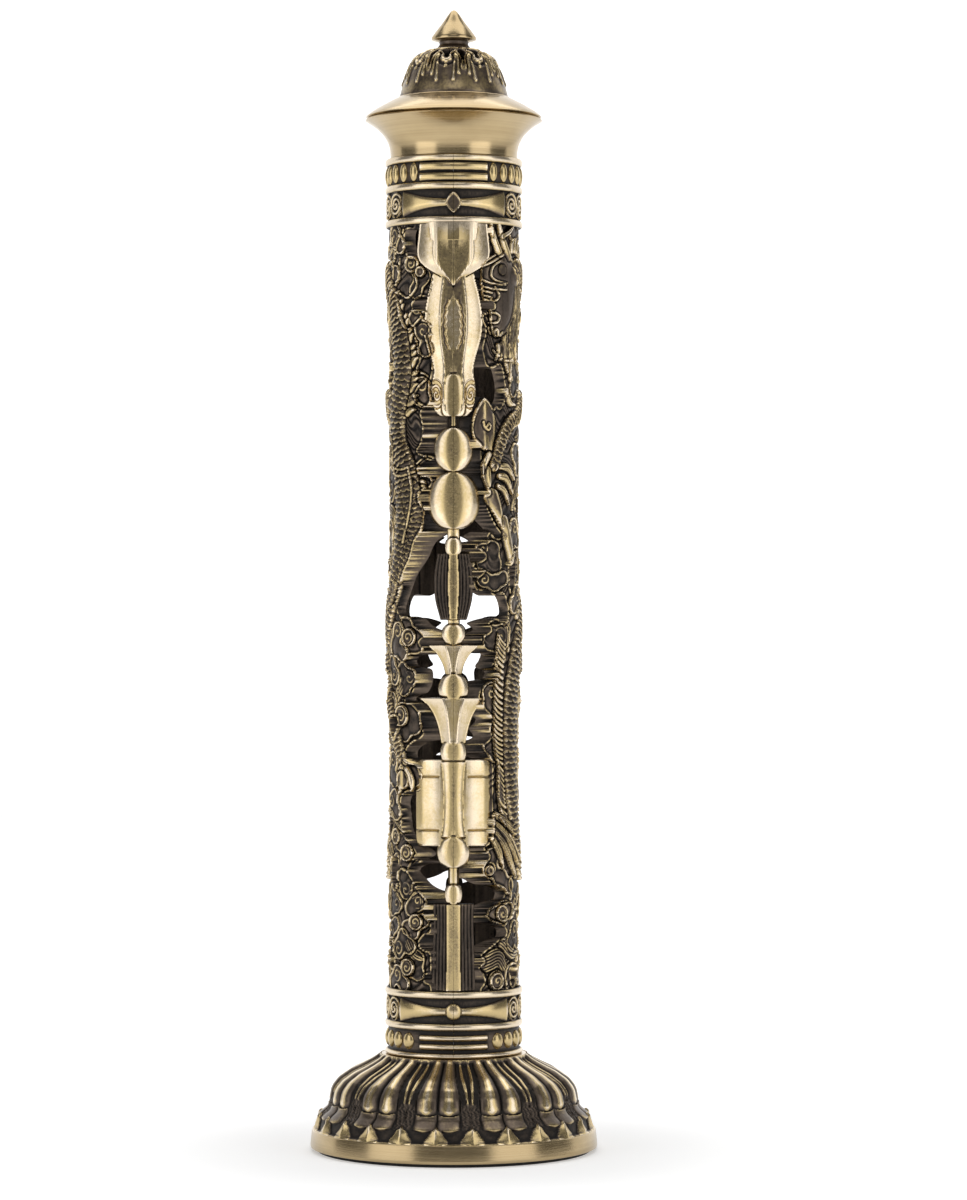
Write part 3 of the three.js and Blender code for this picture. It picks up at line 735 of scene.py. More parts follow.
# The same beside the back ornament: distance from the back joint, height.
BACK_EDGE = [
    (9, 203.5), (9.6, 201), (12.1, 200.8), (12.5, 198), (11.5, 195.4), (9.2, 194.9), (7.6, 193.9),
    (5.8, 193), (5, 191), (5, 188), (5.8, 186.1), (8.2, 186), (10.1, 184.5), (9, 182.9), (6.2, 183.2),
    (5.2, 181.4), (5.2, 178), (4.4, 174), (4.7, 170), (5.4, 166.6), (5, 163.8), (6.2, 162.3), (7.6, 161.2),
    (7.3, 159.6), (7, 157.6), (7.5, 154.5), (8.6, 152.7), (6.6, 151.9), (4.8, 151.7), (4.6, 150.7),
    (6.8, 150.5), (7.9, 149.2), (7.6, 147.7), (5.6, 147.3), (4.8, 146.2), (5.4, 144.8), (7.4, 144),
    (7.7, 142.2), (6.6, 139.8), (7, 136), (8.8, 132.8), (9.9, 129.4), (12, 126), (13.8, 122), (15.4, 118.7),
    (14, 117), (12, 116.9), (10.3, 116.4), (9, 114.8), (6.8, 112.7), (8, 111.3), (7, 109.8), (8.4, 108.7),
    (11.2, 108.5), (12.2, 107), (11, 105.9), (9.3, 105.5), (9.1, 103), (9.9, 100.5), (12, 99.5),
    (12.2, 98.6), (10, 98), (7.8, 96), (7.5, 94.2), (7.3, 92.7), (6.8, 91.5), (7.8, 90.4), (9.8, 89.6),
    (11.6, 88.2), (12, 86.6), (10.6, 85.5), (9, 84.9), (7.4, 83.2), (7.1, 80.4), (8.5, 79), (12, 78.7),
    (13.8, 77.2), (13.6, 74), (13, 70.6), (11.6, 68.6), (9, 66.3), (8.8, 65.2), (9.8, 64.4), (8.2, 64.3),
    (6.9, 63.8), (10.3, 63), (11.4, 61.7), (10.2, 60.2), (9, 58.6), (6.8, 56.5), (6.1, 54.9), (7.2, 53.5),
    (6.4, 52), (5.2, 50.6), (5.2, 48.6), (7, 47.7), (8.1, 46.2), (7.3, 44.9), (5.4, 44.4), (5, 42),
    (5.2, 39.7), (6.7, 39.1), (6.6, 37.9), (5.2, 37.3), (4.8, 35),
]
# The openings on the flank: middle, half width, half height, lean in degrees.
FLANK_OPENINGS = [
    (24, 181.5, 2.2, 3.8, 10), (26.2, 171, 2, 3.4, -10), (27.2, 153.6, 2.6, 2.2, 20),
    (21.4, 142, 2.1, 4.4, 25), (17, 127, 1.8, 4.2, 10), (24.6, 127, 2, 2.8, -20), (24, 102, 2, 3.6, -30),
    (22.4, 87, 2, 4.4, 20), (25, 71, 2, 4, 25), (29, 61.5, 1.8, 3.6, 0), (22.6, 52, 2.2, 3.6, -15),
    (26.5, 43, 2.2, 3.2, 15), (17.3, 39, 1.6, 2.4, 10), (29.8, 93, 1.4, 2.4, 0),
]

# Clouds: groups of round lobes, as way round, height and radius; the first one's scroll has a hand.
CLOUDS = [
    [(35.6, 193.2, 1.7, 1), (38.2, 190.6, 1.9), (36.6, 187.6, 1.6)],
    [(21, 200, 2.4, 1), (17.6, 200.4, 2), (24.4, 200.6, 2)],
    [(29.2, 200, 2.2, -1), (31.6, 197.6, 1.6)],
    [(20.6, 186.2, 2, -1), (18.2, 183.6, 1.7)],
    [(26.8, 189.2, 2.1, 1), (29.4, 191.4, 1.8), (26.4, 192.8, 1.6)],
    [(38.8, 178.8, 1.9, 1), (36.6, 181.6, 1.6), (39.4, 174.8, 1.6)],
    [(21.4, 175.2, 2.1, 1), (18.6, 177.2, 1.8), (22.4, 171.4, 1.8)],
    [(20.2, 168.4, 1.9, -1), (17.6, 170.6, 1.8), (17.2, 166.6, 1.7)],
    [(38.4, 166.8, 1.8, 1), (38.9, 163.9, 1.6), (36.6, 164.6, 1.4)],
    [(24.2, 164.4, 1.9, 1), (26.6, 162.2, 1.6)],
    [(21.6, 152.2, 2, -1), (18.6, 152.6, 1.9), (20.2, 149.4, 1.7)],
    [(41.2, 158.4, 1.2, 1), (40, 155.8, 1.2)],
    [(26.4, 144.2, 2.1, 1), (28.8, 147, 1.8), (25.4, 147.8, 1.7)],
    [(25.8, 135.8, 2.1, -1), (22.8, 134, 1.9), (26.2, 132.2, 1.7)],
    [(17.4, 136.2, 1.9, 1), (15.8, 133.2, 1.7), (19.2, 133.6, 1.6)],
    [(7, 131.6, 1.7, 1), (9.6, 131.4, 1.8), (7.2, 128.6, 1.6), (10.2, 128.2, 1.8)],
    [(7.2, 125, 1.6, 1), (10.2, 124.2, 1.7), (12.8, 125.2, 1.5)],
    [(19.6, 121.8, 1.9, -1), (22, 120, 1.8), (17.4, 119.4, 1.7)],
    [(12.2, 112.4, 2.5, 1), (9.4, 113, 1.8), (8.9, 110.6, 1.7), (11.8, 108.2, 1.7)],
    [(34.6, 112.2, 2.4, -1), (37.2, 112, 1.8), (36.6, 109.4, 1.7), (33.6, 115.2, 1.7)],
    [(30.8, 113.6, 1.9, 1), (29.4, 110.4, 2), (32.4, 109, 1.7)],
    [(34.8, 103.6, 1.9, 1), (32.4, 105.2, 1.6), (33, 101.4, 1.7)],
    [(29, 104, 1.9, 1), (27.2, 106.6, 1.7)],
    [(9, 100.4, 2, 1), (8.6, 97.4, 1.7), (11, 95.4, 1.7)],
    [(10.6, 92.6, 1.8, -1), (9, 89.4, 1.9), (10.4, 87, 1.6)],
    [(32.4, 95.4, 2.5, 1), (35.8, 96.2, 1.8), (36.2, 93.2, 1.8), (33.4, 91.4, 1.6)],
    [(28.2, 98.4, 1.8, -1), (27.4, 95.2, 1.7)],
    [(32.6, 82, 2.3, -1), (36, 82.4, 2.2), (34.2, 85, 1.6), (33.6, 79.6, 1.5)],
    [(28.2, 85.4, 1.9, 1), (26.2, 82.4, 1.8), (29, 81.4, 1.7)],
    [(27.6, 76.4, 1.8, 1), (30.2, 74.4, 1.7), (29.2, 77.8, 1.4)],
    [(34.2, 66.2, 2, -1), (31.2, 68, 1.8), (33.2, 63.4, 1.6), (36, 66, 1.3)],
    [(29.4, 69, 1.5, -1), (21.8, 66, 1.8), (24.2, 63.6, 1.7)],
    [(8.8, 62.2, 1.8, 1), (9.4, 65, 1.6), (11.8, 60.2, 1.9), (14.6, 58.4, 1.6)],
    [(33.6, 57.6, 1.9, 1), (32.4, 60.4, 1.6), (35.6, 60.6, 1.4)],
    [(37.4, 55.2, 1.9, -1), (35.4, 53.6, 1.6)],
    [(36.6, 50.4, 1.5, 1), (34.2, 49.4, 1.5), (36.4, 48, 1), (38.6, 51, 1.4)],
    [(30, 54.4, 1.9, -1), (27.8, 56.6, 1.8), (27.4, 53.2, 1.6)],
    [(17.8, 55, 1.9, 1), (19.4, 58.2, 1.7), (16.6, 58.6, 1.6)],
    [(12, 52.4, 1.9, 1), (14.6, 52.9, 1.6), (9.6, 52.3, 1.4)],
    [(18, 48.4, 2, -1), (16, 45.8, 1.7), (20, 46, 1.6)],
    [(10.6, 37.9, 1.9, 1)],
    [(21.6, 41.4, 2.1, 1), (20.4, 38.2, 1.8), (23.4, 37.8, 1.7)],
    [(34.3, 40.9, 2.1, -1), (36.9, 42.6, 1.8), (37.2, 39.6, 1.5)],
    [(31, 44.6, 2, 1), (32.6, 47.4, 1.6), (34.8, 45.4, 1.6)],
    [(30.6, 39, 1.9, -1), (28, 37.2, 1.6), (33, 37, 1.5)],
    [(26.8, 48.6, 1.8, -1), (29.2, 49.8, 1.5)],
]

# The dragon's body, tail last: way round, height, half width.
BODY = [
    (16.2, 190.6, 2.5), (19.6, 192.6, 2.6), (24, 190.6, 2.7), (28.4, 184.6, 2.8), (31.6, 177.4, 3),
    (32.4, 169, 3.1), (30.4, 161, 3.1), (30.6, 154.6, 3.2), (33.2, 148.2, 3.7), (34.2, 141.6, 4.1),
    (33.4, 134.6, 3.6), (31.4, 127.6, 3.1), (27.8, 121, 2.9), (23.4, 115, 2.9), (19, 108.4, 2.9),
    (16.4, 100.6, 2.9), (15.5, 92, 2.8), (15.6, 83, 2.7), (16.8, 74.6, 2.4), (18.6, 67.6, 1.8),
    (20.2, 62.4, 1.1), (21, 59.6, 0.5),
]
# Legs and whiskers of the dragon: way round, height, half width.
LEGS = [
    [
        (27.5, 163.5, 1.9), (24, 165, 1.8), (19.6, 160.6, 1.7), (15.6, 159.2, 1.6), (12.6, 156, 1.5),
        (9.6, 149.6, 1.3),
    ],
    [(22, 109, 2.2), (25.6, 99.4, 1.9), (28.6, 94.2, 1.7), (31.4, 88.4, 1.5), (33.6, 84.6, 1.2)],
    [(35.6, 144, 2.6), (36.8, 136.4, 2), (34.6, 128.6, 1.6), (30.6, 124, 1.3)],
]
# Blades of the talons: root with its half width, middle, tip.
BLADES = [
    [(7.4, 148.4, 1.3), (7.9, 146, 0.9), (8.1, 143.4, 0.12)],
    [(9, 142.8, 1.9), (10.6, 139.8, 1.3), (12.2, 135.6, 0.12)],
    [(12.6, 138, 1), (14.4, 132.4, 1.2), (16.9, 124.8, 0.12)],
    [(8.2, 152, 0.7), (6.9, 149.6, 0.6), (6.4, 147.6, 0.12)],
    [(33.6, 84.4, 0.8), (35.6, 81.6, 0.7), (36.2, 79, 0.12)],
    [(33, 84.2, 0.8), (33, 80.6, 0.7), (31.8, 78.2, 0.12)],
    [(34, 85.4, 0.8), (36.8, 85.4, 0.7), (38.6, 83.6, 0.12)],
    [(30.6, 124.4, 0.9), (27.8, 122.6, 0.8), (25.2, 123.2, 0.12)],
    [(30.6, 123.8, 0.9), (28.6, 120.2, 0.7), (26, 118.2, 0.12)],
]
# The head's plate, its antlers and its fine lines.
HEAD = [
    (7, 193.5), (9.5, 195.3), (12.5, 196), (15.5, 195), (17.5, 192), (17.5, 187), (16, 182), (13, 178.5),
    (10.5, 177.5), (9, 179), (8.5, 183), (7, 185), (6.3, 188), (6.2, 191),
]
ANTLERS = [
    [(8.6, 202.3, 0.45), (9.6, 199, 0.7), (11.4, 195.5, 0.8)],
    [(10.9, 202.3, 0.4), (12.1, 199, 0.75), (14.4, 195, 0.9)],
    [(12, 199.4, 0.6), (14.6, 200.6, 0.5), (16.2, 202.2, 0.2)],
]
# Thin beads on the casting: way round, height.
LINES = [
    [(6.4, 192.6), (9.5, 194), (12.2, 195.5)],
    [(11, 194), (9.2, 192.8), (8.6, 191), (9.4, 190), (11, 189.5), (13.3, 189.3)],
    [(6, 192.2), (6.2, 190.2), (8.2, 189.2), (11, 189), (13, 189)],
    [(6.4, 188.4), (9, 187.9), (13, 187.9)],
    [(6.8, 187.4), (8.8, 187)],
    [(6.9, 186.4), (8.9, 185.9)],
    [(9.7, 188.3), (10.8, 186.6), (9.9, 185.4), (8.6, 185.6)],
    [(7.6, 182.4), (9.5, 182.8), (10.9, 182), (10.3, 180.7), (8.5, 180.5)],
    [(8.3, 179.5), (9.2, 178.2), (10.2, 179.2), (11, 177.8), (12, 178.6)],
    [(9.7, 174.7), (11.2, 173.2), (13, 172.5), (15.5, 172.7)],
    [(7.4, 158), (7.9, 158.7), (8.4, 158.1), (7.8, 157.3), (6.9, 157.8), (6.6, 159)],
    [(11.1, 73.3), (14.6, 69.6), (18, 65.4), (22, 61.7)],
    [(8.35, 53.6), (13.4, 55.1), (16.5, 53.6), (14.6, 50.7), (12.8, 49.8), (8.9, 50.9), (7.6, 52)],
    [(14.2, 35.4), (13.9, 38.2), (14.2, 40.4), (16.5, 41.3), (19.4, 40.6)],
    [(32.8, 201), (31.2, 198.8), (29.4, 196)],
    [(28.4, 199.5), (28.3, 197), (28.9, 195)],
    [(28.4, 194.7), (28.2, 191.6), (27.8, 188.5)],
    [(31.3, 194.7), (31.1, 192), (30.4, 189.6)],
    [(28.9, 188), (28.1, 185), (27.8, 182)],
    [(36.2, 191.8), (37, 189.2), (36.2, 187.4), (34.1, 186.1), (31.7, 187), (28.9, 188.3)],
    [(31.3, 185.3), (32.7, 181.5), (34.7, 179.3), (38, 181.5), (38.8, 183)],
    [
        (36.5, 177.6), (38, 173.2), (37, 170.5), (39.8, 168.8), (38, 167), (36.5, 165.3), (37.5, 163.3),
        (39.8, 162.2),
    ],
    [(39.3, 177.6), (40.4, 174), (40.9, 170.5)],
    [(24.5, 152.3), (31.3, 149), (35.9, 149.5), (39.3, 151.7)],
    [(25.5, 150.8), (31.3, 147.6), (36.2, 148.1), (39.6, 150.2)],
    [(38, 147.3), (39.8, 147.4), (40.8, 146.4)],
    [(35.2, 149.2), (36.2, 144), (35.4, 138.6), (33.6, 133)],
]
# Streams of cloud that run over the ground: way round, height, half width.
STREAMS = [
    [(19.8, 198.6, 1.6), (22.8, 196.4, 1.4), (25.6, 196.2, 1), (28.2, 197.4, 0.2)],
    [(20.4, 184.6, 1.5), (17.4, 180.2, 1.4), (16.2, 175.8, 1), (17.2, 171.4, 0.2)],
    [(24.4, 176.6, 1.3), (26.6, 178, 1), (28, 180.6, 0.2)],
    [(19.4, 171.8, 1.4), (23.4, 169, 1.1), (26.6, 166.2, 0.2)],
    [(20.6, 155.8, 1.5), (24.4, 157.8, 1.2), (27.6, 157.4, 0.3)],
    [(22.4, 147.6, 1.5), (18.6, 144.6, 1.3), (16.6, 140.2, 0.3)],
    [(25, 140.8, 1.4), (28.2, 139.4, 1.1), (29.6, 136.2, 0.2)],
    [(20.4, 131.4, 1.5), (22.2, 127.2, 1.2), (21.2, 123.6, 0.3)],
    [(29.8, 131, 1.2), (27.2, 129.4, 1.1), (26.2, 125.4, 0.3)],
    [(11.2, 119.4, 1.2), (14.4, 114.6, 1.2), (14.6, 109.4, 0.3)],
    [(27.4, 113, 1.4), (25.2, 108.6, 1.1), (26, 104, 0.2)],
    [(31.4, 101, 1.3), (29.6, 98, 1.1), (30.6, 95.2, 0.3)],
    [(20.4, 98.8, 1.3), (20.6, 94, 1.1), (23.4, 91.6, 0.3)],
    [(24.8, 91, 1.3), (27.6, 89, 1.1), (30.4, 88.6, 0.2)],
    [(20, 80.4, 1.5), (23, 77, 1.2), (26.8, 78.4, 0.3)],
    [(23, 67.6, 1.4), (26.2, 66, 1.2), (28.2, 63, 0.3)],
    [(32.7, 70.8, 1), (28, 74, 1.1), (23.4, 74.6, 0.4)],
    [(31.4, 56, 1.4), (28, 59.4, 1.1), (24.2, 60, 0.3)],
    [(22.6, 57.4, 1.3), (24.8, 54.6, 1.2), (24.4, 50.4, 0.3)],
    [(13, 45.6, 1.5), (16.4, 43.4, 1.3), (20.4, 43.6, 0.4)],
    [(8.2, 41.8, 2), (11, 42.6, 2.2), (13, 40.8, 1)],
    [(24.2, 46, 1.4), (27.6, 45.4, 1.2), (29.8, 42.8, 0.3)],
    [(34.6, 45.8, 1.2), (36.4, 43.4, 1), (38.6, 42.6, 0.3)],
    [(36, 56.8, 1.2), (38, 57.6, 1), (38.4, 54.4, 0.3)],
]
# Rows of rays: the curve that they stand on, their direction to its left, length and spacing.
COMBS = [
    ([(13.2, 111.6), (12.4, 106), (12, 98), (12, 91), (12.8, 84.8)], -132, 3.4, 0.95),
    ([(12.6, 84), (12.8, 78), (13.8, 73)], -150, 3.6, 0.9),
    ([(36.4, 150), (38.2, 144), (37.4, 138)], 60, 1.8, 1.3),
    ([(29.4, 186.4), (33, 180.4), (35.2, 174), (35.6, 166), (34, 160)], 125, 2.6, 1.7),
    ([(18.6, 116), (23.6, 121.6), (28.6, 128.6), (30.2, 134.6)], -55, 2.2, 1.6),
    ([(19.4, 105), (18.6, 98), (18.4, 90), (18.6, 82)], 55, 2, 1.6),
    ([(14.6, 196.2), (18.4, 196.6), (22.4, 195.2)], 60, 3.2, 1.3),
    ([(16.2, 181), (13.4, 176.4), (10.6, 175.6)], 70, 3.4, 1.2),
]
# The leaf below the dragon's chin, and the feathers that fan out from its tail.
LEAF = [
    (8.9, 152.6), (5.6, 153.6), (4.4, 155.6), (4.1, 158), (4.6, 160.6), (5.6, 162.6), (6.8, 164.2),
    (8.8, 162.6), (10.2, 160), (10.3, 157), (9.4, 154),
]
FEATHERS = [
    [(9.4, 72.4, 0.9), (14.2, 68.6, 1), (18.4, 64.2, 0.7), (22.4, 59.8, 0.15)],
    [(9.4, 70.6, 0.8), (12.8, 67.2, 0.9), (15.8, 62.8, 0.7), (17.8, 59.8, 0.15)],
    [(10.2, 73.8, 0.8), (16.6, 70.4, 0.9), (21.6, 66.8, 0.7), (25.2, 64.8, 0.15)],
    [(9.4, 68.8, 0.7), (11.2, 65.6, 0.8), (12.4, 62, 0.15)],
]
# Hair that flows back from the head and the forearm.
HAIR = [
    [(17, 190, 1), (16.4, 183, 1), (15.4, 175.6, 0.9), (15.2, 168, 0.15)],
    [(18.8, 188.6, 0.9), (18.6, 182, 1), (17.6, 176, 0.8), (18.4, 172, 0.15)],
    [(20.6, 188.6, 0.9), (21.4, 183, 0.9), (20.6, 178.4, 0.15)],
    [(13.6, 179.4, 0.8), (13, 174.6, 0.8), (14.2, 170, 0.15)],
    [(11.4, 149.4, 0.7), (14.2, 149.2, 0.8), (17.2, 146.6, 0.15)],
    [(11.4, 147.4, 0.7), (13.8, 146.8, 0.8), (16.2, 143.6, 0.15)],
    [(11, 145.2, 0.6), (13, 144.2, 0.7), (14.6, 141.2, 0.15)],
    [(13.6, 166, 0.6), (15.2, 163.4, 0.7), (17.8, 163, 0.15)],
]
# Round bosses over the clouds, with the same rows.
SCROLLS = [
    [(35.6, 193.4, 1.9, 1)], [(12, 192.2, 1.2)], [(8.4, 61.9, 1.2)], [(12.2, 52.4, 1.8, 1)],
    [(10.6, 37.8, 1.9, -1)], [(34.3, 40.8, 1.9, 1)], [(38, 191.6, 1.2)], [(36.8, 50.7, 1.8, -1)],
    [(34.1, 65.6, 1.9, 1)], [(32.8, 81.4, 2.1, -1)], [(32.2, 95.3, 2.3, 1)], [(34.7, 112.4, 2, -1)],
]


@dataclass
class Carving:
    """Paints the dragon and its clouds for one half of the tube."""

    step: float = 0.16
    foot: float = 35.85
    top: float = 202.55
    ground: float = 13.7
    plate: float = 13.95
    crown: float = 15.1

    def paint(self) -> Relief:
        """Paints the whole half.

        Returns:
            The finished relief.
        """
        relief = Relief(HALF_ROUND, self.foot, self.top, self.step, self.ground)
        self.flow(relief)
        for path in STREAMS:
            relief.ridge(path, self.plate - 0.1, 0.3, 0.4, strands(0.62, 0.34))
        for k, cloud in enumerate(CLOUDS):
            relief.cloud(cloud, self.plate + 0.14 * (k % 3 - 1), 1.2)
        self.dragon(relief)
        for scroll in SCROLLS:
            relief.cloud(scroll, self.plate + 0.35)
        for path in LINES:
            relief.line(path)
        self.open(relief)
        edge = relief.metal
        relief.radius += 0.3 * bump_at(edge, 0.3, 0.2) - 0.22 * bump_at(edge, 0.74, 0.2)
        np.clip(relief.radius, self.ground - 0.45, self.crown, out=relief.radius)
        return relief

    def flow(self, relief: Relief) -> None:
        """Covers the ground with wavy lines that flow like water.

        Args:
            relief: The relief to paint on.
        """
        s, z = relief.s, relief.z
        bend = 2.4 * np.sin(0.31 * s + 0.09 * z) + 1.5 * np.sin(0.24 * z - 0.33 * s + 1.0)
        drift = 1.1 * np.sin(0.55 * z + 0.4 * s + bend) + 0.5 * np.sin(1.1 * s - 0.7 * z)
        phase = 0.62 * (z + bend + drift)
        relief.radius += 0.42 * np.abs(np.sin(np.pi * phase)) ** 0.7 - 0.2

    def dragon(self, relief: Relief) -> None:
        """Raises the dragon: legs, body, mane, head and talons, each over the one before.

        Args:
            relief: The relief to paint on.
        """
        for curve, side, length, every in COMBS:
            relief.comb(curve, side, length, every, self.plate + 0.1)
        for path in HAIR:
            relief.ridge(path, self.plate + 0.05, 0.55, 0.35, strands(0.5, 0.2))
        relief.ridge(BODY, self.plate, 0.85, 0.6, scales(1.2, 0.3))
        for path in LEGS:
            relief.ridge(path, self.plate + 0.1, 0.75, 0.5, scales(1.0, 0.24))
        for path in FEATHERS:
            relief.ridge(path, self.plate + 0.1, 0.6, 0.4, strands(0.42, 0.3))
        relief.plate(HEAD, self.plate + 0.3, 0.35, 0.5)
        for path in ANTLERS:
            relief.ridge(path, self.plate + 0.3, 0.6, 0.4)
        self.leaf(relief)
        for path in BLADES:
            relief.ridge(path, self.plate + 0.35, 0.7, 0.5)

    def leaf(self, relief: Relief) -> None:
        """Raises the pointed leaf as two facets that meet in a ridge.

        Args:
            relief: The relief to paint on.
        """
        place, depth = relief.inside(smooth_path(LEAF, closed=True))
        s = relief.s[place[0]]
        roof = self.crown - 0.28 * np.abs(s - 6.9)
        relief.raise_to(place, np.where(depth > 0.25, roof, roof - 0.3), depth, 0.5)

    def open(self, relief: Relief) -> None:
        """Cuts the openings beside the front and the back ornament, and those on the flank.

        Args:
            relief: The relief to paint on.
        """
        front = smooth_path(FRONT_EDGE, steps=4)
        relief.cut(np.vstack([[-2, front[0, 1]], front, [-2, front[-1, 1]]]))
        back = smooth_path([(HALF_ROUND - t, z) for t, z in BACK_EDGE], steps=4)
        relief.cut(np.vstack([[HALF_ROUND + 2, back[0, 1]], back, [HALF_ROUND + 2, back[-1, 1]]]))
        turn = np.linspace(0, 2 * np.pi, 40, endpoint=False)
        for s, z, half, tall, lean in FLANK_OPENINGS:
            wave = 1 + 0.14 * np.cos(3 * turn + s)
            wide, high = wave * half * np.cos(turn), wave * tall * np.sin(turn)
            tilt = math.radians(lean)
            across = s + wide * math.cos(tilt) + high * math.sin(tilt)
            relief.cut(np.stack([across, z + high * math.cos(tilt) - wide * math.sin(tilt)], 1))


# Skins with openings


# The corners of a grid cell: a, b, c and d go round it, and e, f, g and h lie on its sides ab, bc, dc and ad.
CELL_POLYGONS = {
    1: ["aeh"], 2: ["bfe"], 3: ["abfh"], 4: ["cgf"], 5: ["aeh", "cgf"], 6: ["bcge"], 7: ["abcgh"], 8: ["dhg"],
    9: ["aegd"], 10: ["bfe", "dhg"], 11: ["abfgd"], 12: ["cdhf"], 13: ["aefcd"], 14: ["bcdhe"], 15: ["abcd"],
}


def contoured(metal: Array) -> tuple[Array, Array, Array]:
    """Meshes the part of a grid where a field is positive.

    Args:
        metal: The field on the grid's corners.

    Returns:
        The place of each vertex in grid steps, the triangles, and the border edges in their direction.
    """
    across, up = metal.shape
    count = across * up
    inside = metal > 0
    low, high = metal[:-1], metal[1:]
    share_e = low / np.where(low == high, 1, low - high)
    left, right = metal[:, :-1], metal[:, 1:]
    share_h = left / np.where(left == right, 1, left - right)
    grid_i, grid_j = np.mgrid[0:across, 0:up].astype(float)
    spot_e = np.stack([grid_i[:-1] + share_e.clip(0.02, 0.98), grid_j[:-1]], -1)
    spot_h = np.stack([grid_i[:, :-1], grid_j[:, :-1] + share_h.clip(0.02, 0.98)], -1)
    corners = np.stack([grid_i, grid_j], -1)
    spots = np.vstack([group.reshape(-1, 2) for group in (corners, spot_e, spot_h)])
    corner = np.arange(count).reshape(across, up)
    on_e = count + np.arange((across - 1) * up).reshape(across - 1, up)
    on_h = count + (across - 1) * up + np.arange(across * (up - 1)).reshape(across, up - 1)
    names = {
        "a": corner[:-1, :-1], "b": corner[1:, :-1], "c": corner[1:, 1:], "d": corner[:-1, 1:],
        "e": on_e[:, :-1], "f": on_h[1:], "g": on_e[:, 1:], "h": on_h[:-1],
    }
    code = inside[:-1, :-1] + 2 * inside[1:, :-1] + 4 * inside[1:, 1:] + 8 * inside[:-1, 1:]
    triangles = []
    for number, polygons in CELL_POLYGONS.items():
        here = code == number
        for polygon in polygons:
            ids = [names[letter][here] for letter in polygon]
            triangles += [np.stack([ids[0], ids[k], ids[k + 1]], 1) for k in range(1, len(ids) - 1)]
    faces = np.vstack(triangles)
    used, faces = np.unique(faces, return_inverse=True)
    faces = faces.reshape(-1, 3)
    edges = np.vstack([faces[:, [0, 1]], faces[:, [1, 2]], faces[:, [2, 0]]])
    forward = edges[:, 0] * len(used) + edges[:, 1]
    backward = edges[:, 1] * len(used) + edges[:, 0]
    return spots[used], faces, edges[~np.isin(forward, backward)]


def sampled(grid: Array, spots: Array) -> Array:
    """Reads a grid between its corners.

    Args:
        grid: The numbers on the corners.
        spots: Where to read, in grid steps.

    Returns:
        The number at each spot.
    """
    i = np.clip(spots[:, 0], 0, grid.shape[0] - 1.001)
    j = np.clip(spots[:, 1], 0, grid.shape[1] - 1.001)
    i0, j0 = i.astype(int), j.astype(int)
    u, v = i - i0, j - j0
    low = grid[i0, j0] * (1 - u) + grid[i0 + 1, j0] * u
    high = grid[i0, j0 + 1] * (1 - u) + grid[i0 + 1, j0 + 1] * u
    return low * (1 - v) + high * v


def thick(outer: Array, inner: Array, faces: Array, border: Array, wear_and_painted_light: Array | None = None) -> Skin:
    """Joins two faces over the same spots by walls along their border.

    Args:
        outer: The points of the outer face.
        inner: The points of the inner face.
        faces: The triangles of the outer face.
        border: Its border edges that get a wall.
        wear_and_painted_light: The wear of the outer and then the inner points.

    Returns:
        The skin.
    """
    count = len(outer)
    a, b = border.T
    walls = np.vstack([np.stack([a, a + count, b + count], 1), np.stack([a, b + count, b], 1)])
    return Skin(np.vstack([outer, inner]), [np.vstack([faces, faces[:, ::-1] + count, walls])], wear_and_painted_light)


@dataclass
class Shell:
    """A closed skin between an outer and an inner face that are drawn on the same grid.

    The shapes take the way round, the height and the radius, and give points.
    """

    relief: Relief
    outer: Shape
    inner: Shape

    def skin(self) -> Skin:
        """Builds the outer face, the inner face and the walls between them.

        Returns:
            The closed skin.
        """
        metal = np.pad(self.relief.metal, 1, constant_values=-1000.0)
        spots, faces, border = contoured(metal)
        spots = spots - 1
        s = spots[:, 0] * self.relief.step
        z = self.relief.foot + spots[:, 1] * self.relief.step
        radius = sampled(self.relief.radius, spots)
        return thick(self.outer(s, z, radius), self.inner(s, z, radius), faces, border)


@dataclass
class Wear:
    """Tells how far each vertex of a cast skin is rubbed bright, from the relief that it was drawn from, and
    adds the relief's painted shade and light.
    """

    relief: Relief
    level: float = 0.31
    fine: float = 1.8
    coarse: float = 0.2
    height: float = 0.3
    wall: float = 0.42
    above: float = 14.2

    def across(self, x: Array, y: Array) -> Array:
        """Gives the place across the relief of points in the part's frame."""
        return np.arctan2(x, -y) * HALF_ROUND / np.pi

    def paint(self, data: Mesh) -> None:
        """Writes the wear on a mesh that is in place, in metres.

        Args:
            data: The mesh.
        """
        points = np.zeros(len(data.vertices) * 3, np.float32)
        data.vertices.foreach_get("co", points)
        x, y, z = points.reshape(-1, 3).T / MM
        spots = np.stack([self.across(x, y), z - self.relief.foot], 1) / self.relief.step
        radius = self.relief.radius
        marks = self.fine * (radius - soften(radius, 2)) + self.coarse * (radius - soften(radius, 8))
        # The relief's painted shade and light are added here; only the ornament's relief has any.
        marks += self.level + self.height * np.minimum(radius - self.above, 0) + self.relief.painted_light
        wear_and_painted_light = sampled(marks, spots)
        below = sampled(radius, spots) - np.hypot(x, y)
        wear_and_painted_light += (self.wall - 0.45 * ramp(below, 1.15, 1.6) - wear_and_painted_light) * ramp(below, 0.12, 0.5)
        painted = data.attributes.get(WEAR_AND_PAINTED_LIGHT) or data.attributes.new(WEAR_AND_PAINTED_LIGHT, "FLOAT", "POINT")
        painted.data.foreach_set("value", np.clip(wear_and_painted_light, 0, 1).astype(np.float32))


class SeamWear(Wear):
    """The wear of the ornament, whose relief is drawn over the distance from the joint."""

    def across(self, x: Array, y: Array) -> Array:
        """Gives the distance from the joint."""
        return x


def round_tube(s: Array, z: Array, radius: Array) -> Array:
    """Wraps the unrolled half round the axis."""
    return round_axis(radius, s / HALF_ROUND * np.pi, z)


